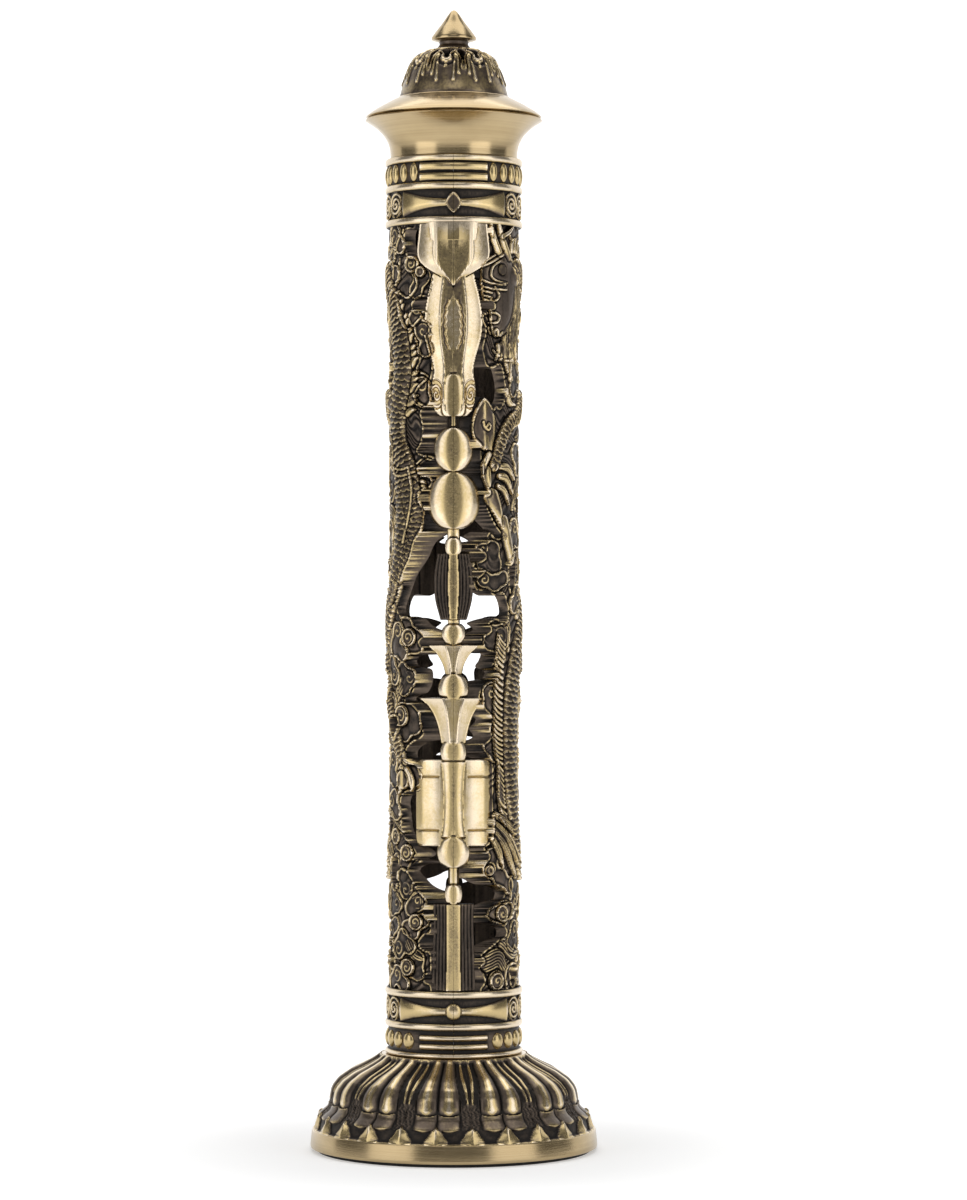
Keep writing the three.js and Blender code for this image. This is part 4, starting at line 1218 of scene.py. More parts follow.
@dataclass
class TubeHalf:
    """One half of the tube's casting: its openwork."""

    carving: Carving = field(default_factory=Carving)
    bore: float = 12.6
    flange: float = 14.5
    most: int = 196_000

    def drawn_back(self, s: Array, z: Array, radius: Array) -> Array:
        """Gives the inner end of each wall, drawn straight back along X as the mould was.

        Args:
            s: The way round.
            z: The height.
            radius: The outer radius.

        Returns:
            The points.
        """
        turn = s / HALF_ROUND * np.pi
        steep = np.abs(np.cos(turn))
        share = ramp(steep, math.cos(math.radians(25)), math.cos(math.radians(19)))
        face = self.flange + share * (np.minimum(self.flange, radius) - self.flange)
        y = -face * np.cos(turn)
        x = np.sqrt(np.clip(self.bore**2 - y**2, 0, None))
        return np.stack([np.maximum(x, JOINT_GAP), y, z], 1)

    def openwork(self, relief: Relief) -> Mesh:
        """Builds the right half's openwork."""
        skin = Shell(relief, round_tube, self.drawn_back).skin()
        return thinned(skin.mesh("openwork"), self.most)


# The ornament over the joint


class Section(Enum):
    """The ways that a form of the ornament stands out across its width."""

    ROUND = "round"
    FACET = "facet"
    FLUTES = "flutes"
    PANEL = "panel"


@dataclass(frozen=True)
class Form:
    """One form of the ornament: its half width at each height, and how it stands out across its width."""

    outline: tuple
    level: float
    crown: float
    section: Section = Section.ROUND
    flat: float = 0.4
    ribs: int = 3
    # How much painted shade darkens a faceted form's flat middle.
    painted_middle_shade: float = 0.24

    def rise(self, share: Array) -> Array:
        """Gives how far the form stands out.

        Args:
            share: The place across, 1 at the form's edge.

        Returns:
            The height above the level.
        """
        if self.section is Section.ROUND:
            return self.crown * rounded(share, 1.0)
        if self.section is Section.FACET:
            sides = np.clip((1 - share) / (1 - self.flat), 0, 1)
            edge = 0.14 * bump_at(share, self.flat, 0.05)
            return self.crown * sides + edge - 0.12 * ramp(share, self.flat, 0.0)
        if self.section is Section.FLUTES:
            place = np.clip((share - self.flat) / (1 - self.flat), 0, 0.999) * self.ribs
            stair = self.crown * (0.72 - 0.6 * np.floor(place) / self.ribs)
            rib = 0.32 * rounded(place - np.floor(place) - 0.5, 0.5)
            middle = self.crown + 0.3 * rounded(share, self.flat)
            return np.where(share < self.flat, middle, stair + rib - 0.2)
        return self.crown * rounded(np.maximum(share - 0.76, 0), 0.24)

    def painted_light(self, share: Array) -> Array:
        """Gives the painted shade that the form adds to the wear: darker along the middle of a round or
        faceted form, on a fluted column, most on its side ribs, and towards a panel's edges.

        Args:
            share: The place across, 1 at the form's edge.

        Returns:
            The addition, below 0 where it is duller.
        """
        if self.section is Section.FLUTES:
            return np.where(share < self.flat, -0.3, -0.6)
        if self.section is Section.FACET:
            return -self.painted_middle_shade * ramp(share, self.flat + 0.05, self.flat - 0.05)
        if self.section is Section.PANEL:
            return -0.14 * ramp(share, 0.5, 0.9)
        return -0.26 * bump_at(share, 0.0, 0.5)


FORMS = (
    Form((
        (85.9, 7.3), (85.4, 7.9), (84.6, 8.1), (68.6, 8.1), (67.9, 7.9), (67.4, 7.3),
    ), 13.2, 0.9, Section.PANEL),
    Form((
        (193.4, 4.4), (190, 4.7), (186.4, 5.6), (181.6, 6.3), (177.4, 6), (173, 4.8), (170, 4.3),
        (167, 4.7), (163.4, 4.6), (161.4, 3.9), (160.2, 2.8),
    ), 13.75, 0.85, Section.FACET, 0.44, painted_middle_shade=0.3),
    Form((
        (202.4, 7.3), (199.4, 7.6), (196.2, 7.9), (194.4, 7.6), (193, 6.6), (191.6, 4.6), (190, 2),
        (188.4, 0.2),
    ), 14.1, 1.0, Section.FACET, 0.5),
    Form((
        (169.4, 0.8), (168.7, 1.7), (167.2, 2.3), (162.2, 2.5), (160.7, 2.2), (160.1, 1.6),
    ), 14.1, 0.8),
    Form(((160.4, 1.3), (157.2, 1.3)), 13.7, 0.6, Section.FLUTES, 0.4, 2),
    Form((
        (157.8, 0.8), (157.2, 2.4), (155.4, 3.8), (153, 4.2), (150.6, 3.8), (148.8, 2.4), (148.2, 0.8),
    ), 13.2, 1.85),
    Form((
        (148.2, 1.4), (147.4, 3.4), (145.2, 5.1), (142, 5.8), (138.8, 5.1), (136.6, 3.4), (135.8, 1.4),
    ), 12.9, 2.15),
    Form(((136, 1.3), (133.4, 1.3)), 13.6, 0.9),
    Form(((134, 0.9), (133.4, 1.6), (132.1, 1.85), (130.8, 1.6), (130.2, 0.9)), 13.8, 1.1),
    Form(((130.6, 3.4), (126, 4.1), (121, 4), (116.2, 2.8)), 13.3, 1.2, Section.FLUTES, 0.29, 4),
    Form(((116.4, 1.2), (110, 1.2)), 13.5, 0.9),
    Form(((115.2, 1.6), (114.2, 2.4), (112.6, 2.5), (110.8, 1.4)), 13.6, 1.25),
    Form((
        (110.8, 5.5), (110.2, 5.1), (109.2, 3.9), (107.6, 2.8), (106, 2.1), (104.4, 1.75),
    ), 13.5, 1.35, Section.FACET, 0.34, painted_middle_shade=0.06),
    Form(((104.6, 1.2), (103.6, 2.6), (101.6, 3.3), (99.8, 3), (99, 1.6)), 13.3, 1.7),
    Form((
        (99.4, 7.6), (98.7, 6.7), (97.4, 5.3), (95.6, 4.2), (93.4, 3.4), (91.2, 2.9), (89.4, 2.6),
    ), 13.5, 1.4, Section.FACET, 0.34, painted_middle_shade=0.06),
    Form(((89.7, 2.2), (88.6, 2.7), (87, 2.8), (85.2, 2.2)), 13.5, 1.3),
    Form(((85.6, 2.9), (83, 2.45), (77.4, 2.2), (72, 2.45), (69.2, 2.9)), 13.5, 1.35),
    Form(((69.4, 1.4), (68.2, 3), (66, 3.6), (63.8, 3), (62.6, 1.4)), 13.2, 1.8),
    Form(((63.2, 0.85), (58.4, 0.85)), 13.7, 0.9),
    Form(((59, 0.9), (58.4, 1.65), (56.9, 1.9), (55.4, 1.65), (54.7, 0.9)), 13.7, 1.2),
    Form(((54.8, 4.4), (50, 4.3), (44, 4.5), (35.9, 4.7)), 13.2, 1.3, Section.FLUTES, 0.34, 4),
)


@dataclass
class SeamOrnament:
    """The column of baluster forms that covers the joint, front and back."""

    step: float = 0.13
    foot: float = 35.85
    top: float = 202.55
    reach: float = 8.6
    spine_half: float = 1.15
    spine_radius: float = 13.9
    lowest: float = 13.2
    crown: float = 15.1
    bed: float = 12.75
    lens: tuple = (180.0, 1.75, 5.8)
    bracket_step: float = 198.3
    volute_height: float = 165.0
    panel_grooves: tuple = (82.3, 70.7)
    most: int = 90_000

    def paint(self) -> Relief:
        """Paints one side of the ornament over the distance from the joint.

        Returns:
            The finished relief.
        """
        relief = Relief(self.reach, self.foot, self.top, self.step, self.lowest)
        x, z = relief.s, relief.z
        relief.radius[:] = np.where(x < self.spine_half + 0.1, self.spine_radius, self.lowest)
        edge = np.full(relief.radius.shape, self.spine_half) - x
        for form in FORMS:
            rows = smooth_path(form.outline)
            rows = rows[np.argsort(rows[:, 0])]
            half = np.interp(z, rows[:, 0], rows[:, 1])
            ends = np.minimum(z - rows[0, 0], rows[-1, 0] - z)
            share = np.clip(x / np.maximum(half, 0.05), 0, 1)
            height = form.level + form.rise(share) - 0.35 * ramp(-ends, -0.3, 0.1)
            depth = np.minimum(half - x, ends)
            beside = np.clip(1 + depth / 0.42, 0, 1) * (depth <= 0) * (height > relief.radius - 0.3)
            relief.radius = relief.radius - 0.4 * beside
            # Painted shade: the groove just outside each form is also darkened in colour.
            relief.painted_light = relief.painted_light - 0.45 * beside
            height = height + 0.1 * bump_at(depth, 0.12, 0.12)
            over = (depth > 0) & (height > relief.radius - 0.05)
            relief.radius = np.where(over, height, relief.radius)
            relief.painted_light = np.where(over, form.painted_light(share), relief.painted_light)
            edge = np.maximum(edge, depth)
        self.details(relief)
        relief.metal = edge
        np.clip(relief.radius, self.lowest, self.crown, out=relief.radius)
        return relief

    def details(self, relief: Relief) -> None:
        """Adds the lens on the baluster, the volutes of the scroll block and the grooves of the panels.

        Args:
            relief: The relief to paint on.
        """
        x, z = relief.s, relief.z
        wave = 0.12 * np.sin(2 * np.pi * z / 1.9)
        middle, wide, tall = self.lens
        lens = x + wave - wide * rounded(z - middle, tall) ** 0.7
        within = np.abs(z - middle) < tall - 0.4
        relief.radius += (0.3 * bump_at(lens, 0.0, 0.18) - 0.16 * bump_at(lens, 0.42, 0.18)) * within
        # The lens's face gets back the painted shade of the facet's middle.
        relief.painted_light = relief.painted_light + 0.3 * ramp(lens, 0.1, -0.3) * within
        step = (z > self.bracket_step) * (x < 4.9 + 0.12 * (z - self.bracket_step))
        relief.radius += 0.3 * step - 0.07 * bump_at(x, 0.0, 0.16) * (z > 189) * (z < 198)
        across, up = (3.7 - x) * 1.8, z - self.volute_height
        reach = np.hypot(across, up)
        arm = reach / 1.5 - np.arctan2(up, across) / (2 * np.pi)
        aside = (reach < 3.3) * (x > 2.45)
        relief.radius += (0.42 * rounded(np.abs(arm - np.round(arm)) * 1.5, 0.4) - 0.24) * aside
        for height in self.panel_grooves:
            relief.radius -= 0.32 * bump_at(z, height, 0.2) * (x > 3.0)

    def skin(self, relief: Relief) -> Skin:
        """Builds the ornament of the right half, front and back.

        Args:
            relief: The painted relief.

        Returns:
            The closed skins as one.
        """

        def face(x: Array, z: Array, radius: Array | float) -> Array:
            """Places a point of the face, clear of the joint."""
            side = x + JOINT_GAP
            return np.stack([side, -np.sqrt(radius**2 - side**2), z], 1)

        def bed(x: Array, z: Array, radius: Array) -> Array:
            """Places a point of the bed."""
            return face(x, z, self.bed)

        front = Shell(relief, face, bed).skin()
        back = Skin(front.points * [1, -1, 1], [f[:, ::-1] for f in front.faces])
        return front.joined(back)


# The bands


@dataclass
class Band:
    """A band of the tube half, with its rings, rods and horns; the beads are set in afterwards."""

    name: str
    low: float
    high: float
    rings: tuple
    rods: tuple
    horns: tuple
    horn_reach: float
    lozenge: tuple
    step: float = 0.15
    ground: float = 14.35
    ring_radius: float = 15.1
    bore: float = 12.56
    joint_gap: float = 0.04
    most: int = 78_000

    def paint(self) -> Relief:
        """Paints the band over the unrolled half.

        Returns:
            The finished relief.
        """
        relief = Relief(HALF_ROUND, self.low, self.high, self.step, self.ground)
        z = relief.z
        s = np.minimum(relief.s, HALF_ROUND - relief.s)
        for low, high in self.rings:
            middle, half = 0.5 * (low + high), 0.5 * (high - low)
            torus = 14.45 + (self.ring_radius - 14.45) * rounded(z - middle, half) ** 0.8
            relief.radius = np.maximum(relief.radius, np.where(np.abs(z - middle) < half, torus, 0))
        for middle, half, reach in self.rods:
            rod = 14.4 + 0.6 * rounded(z - middle, half) * ramp(s, reach, reach - 0.4)
            relief.radius = np.maximum(relief.radius, np.where(np.abs(z - middle) < half, rod, 0))
        self.paint_horns(relief, s)
        return relief

    def paint_horns(self, relief: Relief, s: Array) -> None:
        """Paints the flaring horns, the scrolls beyond them and the lozenge or boss on the joint.

        Args:
            relief: The relief to paint on.
            s: The distance from the nearer joint.
        """
        z = relief.z
        low, high = self.horns
        middle, half = 0.5 * (low + high), 0.5 * (high - low)
        flare = 0.8 + (half - 0.8) * np.clip(s / self.horn_reach, 0, 1) ** 2.1
        within = (np.abs(z - middle) < np.minimum(flare, half)) & (s < self.horn_reach)
        horn = 14.3 + 0.7 * rounded(z - middle, flare + 0.05)
        relief.radius = np.where(within, np.maximum(relief.radius, horn), relief.radius)
        wide, tall, pointed = self.lozenge
        bulge = 1.35 if pointed else 2.0
        reach = ((s / wide) ** bulge + (np.abs(z - middle) / tall) ** bulge) ** (1 / bulge)
        boss = 14.7 + 0.35 * bump_at(reach, 0.88, 0.1) if pointed else 14.5 + 0.6 * rounded(reach, 1.0)
        relief.radius = np.where(reach < 1, boss, relief.radius)
        clear = (s > self.horn_reach + 0.5) & (np.abs(z - middle) < half - 0.1)
        period = 4.6
        turn = (s - self.horn_reach - 0.5) / period
        cell = (turn - np.floor(turn) - 0.5) * period
        spiral = np.hypot(cell, z - middle)
        arm = spiral / 1.05 - np.arctan2(z - middle, cell) / (2 * np.pi)
        scroll = 0.5 * rounded(np.abs(arm - np.round(arm)) * 1.05, 0.3) * (spiral < half - 0.1)
        leaf = 0.35 * rounded(np.abs(np.abs(z - middle) - half * np.abs(np.sin(np.pi * turn))), 0.32)
        relief.radius = np.where(clear, relief.radius + np.maximum(scroll, leaf), relief.radius)

    def skin(self, relief: Relief) -> Skin:
        """Builds the band of the right half.

        Args:
            relief: The painted relief.

        Returns:
            The closed skin.
        """

        def face(s: Array, z: Array, radius: Array) -> Array:
            """Places a point of the face, a hair clear of the joint."""
            return round_tube(np.clip(s, self.joint_gap, HALF_ROUND - self.joint_gap), z, radius)

        def bore(s: Array, z: Array, radius: Array) -> Array:
            """Places a point of the bore."""
            return face(s, z, np.full(len(s), self.bore))

        return Shell(relief, face, bore).skin()


UPPER_BAND = Band(
    "upper_band", low=201.9, high=217.1,
    rings=((215.5, 217.1), (209.4, 211.0), (201.9, 203.5)),
    rods=((214.35, 0.95, 7.9), (212.1, 0.95, 7.9)),
    horns=(203.5, 209.4), horn_reach=12.4, lozenge=(1.8, 2.4, True),
)
LOWER_BAND = Band(
    "lower_band", low=21.3, high=35.8,
    rings=((34.2, 35.8), (27.3, 28.8), (21.3, 22.4)),
    rods=((25.75, 0.62, 7.9), (23.85, 0.62, 7.9)),
    horns=(28.8, 34.2), horn_reach=13.2, lozenge=(1.75, 1.75, False),
)


# Geometry Nodes for what repeats


def feed(tree: NodeTree, socket: NodeSocket, value: object) -> None:
    """Links an input, or sets it.

    Args:
        tree: The tree of the input.
        socket: The input.
        value: A Value, a socket or a plain value.
    """
    if isinstance(value, Value):
        value = value.socket
    if isinstance(value, NodeSocket):
        tree.links.new(value, socket)
    else:
        socket.default_value = value


def wired(tree: NodeTree, kind: str, inputs: dict | None = None, **settings: object) -> Node:
    """Adds a node to a tree.

    Args:
        tree: The tree.
        kind: The node's type.
        inputs: Values or sockets for its inputs, by name or place.
        settings: Its other properties, which are set first.

    Returns:
        The node.
    """
    node = tree.nodes.new(kind)
    for key, value in settings.items():
        setattr(node, key, value)
    for key, value in (inputs or {}).items():
        feed(tree, node.inputs[key], value)
    return node


@dataclass
class RoundRepeat:
    """A node group that sets copies of a mesh round the axis and joins them.

    The named inputs are the count, the first angle, the angle from copy to copy and the merging distance.
    """

    name: str
    count: int
    first: float
    every: float
    merge: float = 0.0

    def tree(self) -> NodeTree:
        """Builds the node group.

        Returns:
            The node group.
        """
        tree = bpy.data.node_groups.new(self.name, "GeometryNodeTree")
        face = tree.interface
        face.new_socket("Geometry", in_out="INPUT", socket_type="NodeSocketGeometry")
        kinds = {"Count": "Int", "First": "Float", "Every": "Float", "Merge": "Float", "Material": "Material"}
        for label, kind in kinds.items():
            face.new_socket(label, in_out="INPUT", socket_type="NodeSocket" + kind)
        face.new_socket("Geometry", in_out="OUTPUT", socket_type="NodeSocketGeometry")
        start = wired(tree, "NodeGroupInput").outputs
        spots = wired(tree, "GeometryNodeMeshLine", {"Offset": (0, 0, 0), "Count": start["Count"]})
        index = wired(tree, "GeometryNodeInputIndex").outputs[0]
        sums = {0: index, 1: start["Every"], 2: start["First"]}
        angle = wired(tree, "ShaderNodeMath", sums, operation="MULTIPLY_ADD").outputs[0]
        turn = wired(tree, "ShaderNodeCombineXYZ", {"Z": angle}).outputs[0]
        copied = {"Points": spots.outputs["Mesh"], "Instance": start["Geometry"], "Rotation": turn}
        copies = wired(tree, "GeometryNodeInstanceOnPoints", copied).outputs[0]
        real = wired(tree, "GeometryNodeRealizeInstances", {0: copies}).outputs[0]
        near = {"Geometry": real, "Distance": start["Merge"]}
        merged = wired(tree, "GeometryNodeMergeByDistance", near).outputs[0]
        finish = {"Geometry": merged, "Material": start["Material"]}
        dressed = wired(tree, "GeometryNodeSetMaterial", finish).outputs[0]
        wired(tree, "NodeGroupOutput", {0: dressed})
        return tree

    def applied(self, data: Mesh, material: Material) -> Mesh:
        """Gives the plain mesh of all copies of a mesh.

        Args:
            data: The mesh to repeat.
            material: Its material.

        Returns:
            The plain mesh.
        """

        def add(carrier: Object) -> None:
            """Adds the node group as a modifier and sets its inputs.

            Args:
                carrier: The object of the mesh.
            """
            modifier = carrier.modifiers.new(self.name, "NODES")
            modifier.node_group = self.tree()
            values = {
                "Count": self.count, "First": math.radians(self.first), "Every": math.radians(self.every),
                "Merge": self.merge * MM, "Material": material,
            }
            for item in modifier.node_group.interface.items_tree:
                if item.in_out == "INPUT" and item.name in values:
                    modifier[item.identifier] = values[item.name]

        return applied(data, add)


@dataclass(frozen=True)
class Bead:
    """A bead of a band: the height of its middle, and its sizes."""

    height: float
    half_width: float
    half_height: float
    wear_and_painted_light: float
    centre: float = 14.3
    stands: float = 0.85

    def skin(self, around: int = 28, rows: int = 16) -> Skin:
        """Builds the bead at the front of the tube.

        Args:
            around: Steps round it.
            rows: Its rings of points.

        Returns:
            The closed skin.
        """
        turns = 2 * np.pi * np.arange(around) / around
        lift = np.pi * (np.arange(rows) + 0.5) / rows
        ring = np.stack([np.cos(turns), np.sin(turns)], 1)
        x = self.half_width * np.sin(lift)[:, None] * ring[:, 0]
        y = -self.centre - self.stands * np.sin(lift)[:, None] * ring[:, 1]
        z = self.height + self.half_height * np.cos(lift)[:, None] * np.ones(around)
        return lofted(np.stack([x, y, z], -1), self.wear_and_painted_light)


# The foot


@dataclass
class LotusFoot:
    """The foot: a turned body with its rim, well and spigot, and a ring of twelve petals over it."""

    petals: int = 12
    first_petal: float = -7.0
    columns: int = 64
    rows: int = 116
    outline: tuple = (
        (16.1, 21.25), (16.6, 21.0), (17.4, 20.4), (19.0, 19.5), (20.6, 18.7), (22.5, 17.8), (23.9, 16.9),
        (25.2, 16.0), (26.0, 15.1), (26.6, 14.3), (27.0, 13.4), (27.2, 12.5), (27.4, 11.6), (27.8, 10.8),
        (28.1, 9.9), (29.1, 9.0), (30.1, 8.1), (30.3, 7.2), (30.6, 6.4), (30.9, 5.5), (30.9, 4.8),
    )

    def carve(self, turn: Array, way: Array) -> tuple[Array, Array]:
        """Gives the carving of one petal.

        Args:
            turn: The place across the petal from -1 to 1.
            way: The place from the seat at 0 down to the rim at 1.

        Returns:
            The height along the outward normal, 0 at the highest, and the wear with a painted highlight
            streak down each flute.
        """
        aside = np.abs(turn)
        half = 0.27 + 0.065 * ramp(way, 0.15, 0.62)
        u = (aside - half - 0.015) / half
        lobe = rounded(u, 1.0)
        below = way - 0.672 - 0.033 * lobe
        flute = lobe**0.8 * ramp(-below, 0, 0.05) ** 0.5
        high = 0.92 * flute
        cup = lobe**0.6 * ramp(0.8 + 0.095 * lobe - way, 0, 0.022) * (below > 0.004)
        high = np.maximum(high, 0.56 * cup)
        shift = 0.8 + 0.12 * ramp(way, 0.1, 0.6)
        rib = rounded(aside - shift, 0.085 - 0.05 * ramp(way, 0.3, 0.62)) * ramp(way, 0.63, 0.58)
        high = np.maximum(high, 0.42 * rib) + 0.16 * bump_at(aside, 1.0, 0.02) * ramp(way, 0.66, 0.6)
        stipple = np.sin(turn * 47 + 3 * np.sin(way * 70)) * np.sin(way * 118 + 2 * turn)
        rough = ramp(aside, 0.71, 0.76) * ramp(way, 0.57, 0.64) * ramp(way, 0.87, 0.82)
        high = high + (0.16 + 0.2 * stipple) * rough
        high = high + 0.22 * bump_at(np.abs(u), 1.1, 0.06) * ramp(-below, -0.03, 0.0)
        high = high + 0.2 * bump_at(below, 0.004, 0.007) * (np.abs(u) < 1.1)
        facet = np.zeros(high.shape)
        for middle in (0.0, 1.0):
            leaf = 1 - np.abs(aside - middle) / np.clip((way - 0.81) * 2.2, 0.001, 0.34)
            facet = np.maximum(facet, (leaf > 0) * (way > 0.81) * (0.3 + 0.55 * leaf))
        high = np.maximum(high, facet)
        # Painted highlight: a bright streak along the rubbed crest of each flute; the leaf tips, cups and
        # ribs are made lighter.
        painted_light = 0.5 * bump_at(u, 0.0, 0.34) * (below < 0) + 0.3 * (facet > 0.3) + 0.12 * cup + 0.16 * rib
        return high - 0.95, painted_light

    def petal(self) -> Skin:
        """Builds the sector of one petal, open at its two sides where the next ones join.

        Returns:
            The skin with its wear and painted highlights.
        """
        rows = smooth_path(self.outline, steps=12)
        length = lengths(rows)
        even = np.linspace(0, length[-1], self.rows)
        r, z = np.interp(even, length, rows[:, 0]), np.interp(even, length, rows[:, 1])
        along = np.stack([np.gradient(r), np.gradient(z)], 1)
        along /= np.linalg.norm(along, axis=1)[:, None]
        normal = np.stack([-along[:, 1], along[:, 0]], 1)
        across = np.linspace(-1, 1, self.columns + 1)
        way = np.linspace(0, 1, self.rows)
        ends = ramp(way, 0, 0.03) * ramp(way, 1, 0.985)
        high, painted_light = self.carve(across[:, None], way[None, :])
        high = high * ends[None, :]
        outer_r, outer_z = r + normal[:, 0] * high, z + normal[:, 1] * high
        bed = np.array([(29.0, 4.85), (27.2, 8.0), (25.4, 11.6), (23.0, 14.6), (19.0, 17.3), (15.6, 19.2)])
        ones = np.ones((self.columns + 1, 1))
        ring_r = np.hstack([outer_r, ones * bed[:, 0]])
        ring_z = np.hstack([outer_z, ones * bed[:, 1]])
        turn = np.radians(180 / self.petals) * across[:, None] * np.ones_like(ring_r)
        points = round_axis(ring_r, turn, ring_z)
        n = ring_r.shape[1]
        ids = np.arange(points.shape[0] * n).reshape(-1, n)
        a, b = ids[:-1], ids[1:]
        quads = np.stack([a, np.roll(a, -1, 1), np.roll(b, -1, 1), b], -1).reshape(-1, 4)
        soft = soften(high, 3)
        wear_and_painted_light = np.clip(0.24 + 1.0 * (high - soft) + 0.1 * (high + 0.95) + painted_light, 0, 1)
        wear = np.hstack([wear_and_painted_light, 0.1 * np.ones((self.columns + 1, len(bed)))])
        return Skin(points.reshape(-1, 3), [quads], wear.ravel())

    def body(self) -> Skin:
        """Builds the turned body: rim, hollow underside, well and spigot."""
        corners = [
            (0, 11.4), (2.0, 11.4), (2.0, 5.9), (7.0, 5.9, 0.5), (9.0, 8.4, 1), (22.0, 8.4, 3),
            (28.6, 3.0, 2), (29.4, 0.8), (31.45, 0.8, 0.2), (31.5, 1.3, 0.3), (31.15, 4.75, 0.3),
            (30.2, 4.9, 0.2), (29.2, 6.0), (27.0, 9.0), (25.0, 12.4), (22.4, 15.2), (18.4, 18.0),
            (15.9, 19.6), (15.9, 21.25, 0.2), (11.3, 21.3, 0.1), (11.0, 21.6, 0.1), (11.0, 28.9, 0.4),
            (9.1, 28.9, 0.4), (9.1, 17.2, 0.6), (0, 16.9),
        ]
        return turned(filleted(corners), 192, 0.62)


# The collar and the lid


@dataclass
class Collar:
    """The flared collar on the top of the tube."""

    foot: float = 217.1
    neck: float = 13.95
    mouth: float = 19.4

    def skin(self) -> Skin:
        """Builds the collar with its spigot and its trumpet.

        Returns:
            The closed skin.
        """
        opening = self.mouth - self.neck
        flare = [(self.neck + opening * t**2.7, self.foot + 8.5 * t) for t in np.linspace(0, 1, 26)]
        corners = [(10.6, 205.1), (12.2, 205.1), (12.2, 217.0), (13.8, 217.05, 0.15)]
        corners += flare + [(19.4, 225.7, 0.2), (19.0, 226.0, 0.2), (16.8, 226.0)]
        corners += [(10.6 + 6.0 * t**2, 217.6 + 7.2 * t) for t in np.linspace(1, 0, 14)]
        return turned(filleted(corners), 192, 0.75)


@dataclass
class Lid:
    """The lid: a convex flange, a pierced dome and a finial."""

    lobes: int = 8
    first_lobe: float = -10.0
    step: float = 0.145
    way: float = 12.1
    wall: float = 1.5
    dome_outline: tuple = (
        (12.1, 230.2), (12.05, 230.9), (12.0, 231.4), (11.6, 232.9), (11.3, 233.8), (11.0, 234.6),
        (10.75, 235.5), (10.4, 236.4), (10.0, 237.3), (9.5, 238.2), (8.9, 239.1), (7.8, 240.0),
        (6.1, 240.85), (4.6, 241.15), (3.7, 241.3),
    )

    def flange(self) -> Skin:
        """Builds the convex flange with its plug below.

        Returns:
            The closed skin.
        """
        crown = [(19.3 - 6.95 * t, 226.4 + 4.2 * t ** (1 / 1.25)) for t in np.linspace(0, 1, 24)]
        corners = [(8.4, 224.2, 0.2), (10.3, 224.2, 0.2), (10.5, 226.05), (18.9, 226.05, 0.2)]
        corners += crown + [(12.3, 230.7), (10.2, 230.7), (10.2, 232.1, 0.2), (8.4, 232.1, 0.2)]
        return turned(filleted(corners), 192, 0.85)

    def finial(self) -> Skin:
        """Builds the finial's cone."""
        corners = [
            (0, 242.9), (3.3, 242.9), (4.9, 243.35, 0.15), (4.95, 243.9, 0.25), (3.9, 245.4, 1.5),
            (2.6, 247.0, 1.5), (1.3, 248.9, 1.2), (0.55, 249.8, 0.3), (0, 250.0),
        ]
        return turned(filleted(corners), 96)

    def neck(self) -> Skin:
        """Builds the finial's darker neck and its shank."""
        corners = [
            (0, 235.45), (1.6, 235.45), (1.6, 239.6), (3.9, 240.9, 0.3), (3.75, 241.6, 0.3),
            (3.1, 242.3, 0.4), (3.25, 242.95), (0, 242.95),
        ]
        return turned(filleted(corners), 96, 0.34)

    def paint(self) -> Relief:
        """Paints one sector of the dome: the way round across, the way up its outline as the height.

        Returns:
            The finished relief.
        """
        width = 2 * np.pi * self.way / self.lobes
        rows = smooth_path(self.dome_outline, steps=8)
        length = lengths(rows)
        across = int(round(width / self.step))
        relief = Relief(width, 0, length[-1], width / across, 0.0)
        v = relief.z / length[-1]
        narrow = np.interp(relief.z, length, rows[:, 0]) / self.way
        x = np.abs(relief.s - width / 2) * narrow
        aside = np.abs(width / 2 * narrow - x)
        holes = []
        openings = ((x, 0.73, 1.15, 0.15), (aside, 0.64, 0.62, 0.2), (x, 0.93, 0.5, 0.045))
        for way, middle, half, tall in openings:
            waist = half * (1.05 + 0.45 * np.sin(6 * (v - middle) / tall * 0.5))
            holes.append(np.hypot(way / waist, (v - middle) / tall))
        hole = np.minimum.reduce(holes)
        upper = ramp(v, 0.3, 0.5)
        rim = 0.6 * bump_at(hole, 1.32, 0.2) * upper
        gutter = 0.35 * bump_at(hole, 1.75, 0.2) * upper
        drips = np.zeros(hole.shape)
        rows_of_drips = ((x, 0.42, 0.34), (np.abs(x - 1.9), 0.2, 0.3), (np.abs(aside - 1.2), 0.3, 0.3))
        for way, foot, half in rows_of_drips:
            strand = rounded(way, half * (1 + 0.4 * bump_at(v, foot + 0.03, 0.05)))
            drips = np.maximum(drips, strand * ramp(v, foot - 0.02, foot + 0.02) * (hole > 1.5))
        relief.radius = -0.3 + 0.8 * (rim - gutter) + 0.36 * drips + 0.1 * ramp(v, 0.5, 0.2)
        relief.radius = relief.radius * ramp(v, 0.0, 0.04)
        relief.metal = np.minimum(3.0, (hole - 1) * 0.8)
        return relief

    def sector(self, relief: Relief) -> Skin:
        """Builds one pierced sector of the dome.

        Args:
            relief: The painted relief.

        Returns:
            The skin, open at its two sides.
        """
        rows = smooth_path(self.dome_outline, steps=8)
        length = lengths(rows)
        along = np.gradient(rows, axis=0)
        along /= np.linalg.norm(along, axis=1)[:, None]
        normal = np.stack([along[:, 1], -along[:, 0]], 1)
        spots, faces, border = contoured(relief.metal)
        s = spots[:, 0] * relief.step
        way = np.clip(spots[:, 1] * relief.step, 0, length[-1])
        high = sampled(relief.radius, spots)
        turn = (s - 0.5 * relief.width) / self.way

        def at(lift: Array | float) -> Array:
            """Places the points at a height over the outline."""
            r = np.interp(way, length, rows[:, 0]) + lift * np.interp(way, length, normal[:, 0])
            z = np.interp(way, length, rows[:, 1]) + lift * np.interp(way, length, normal[:, 1])
            return round_axis(r, turn, z)

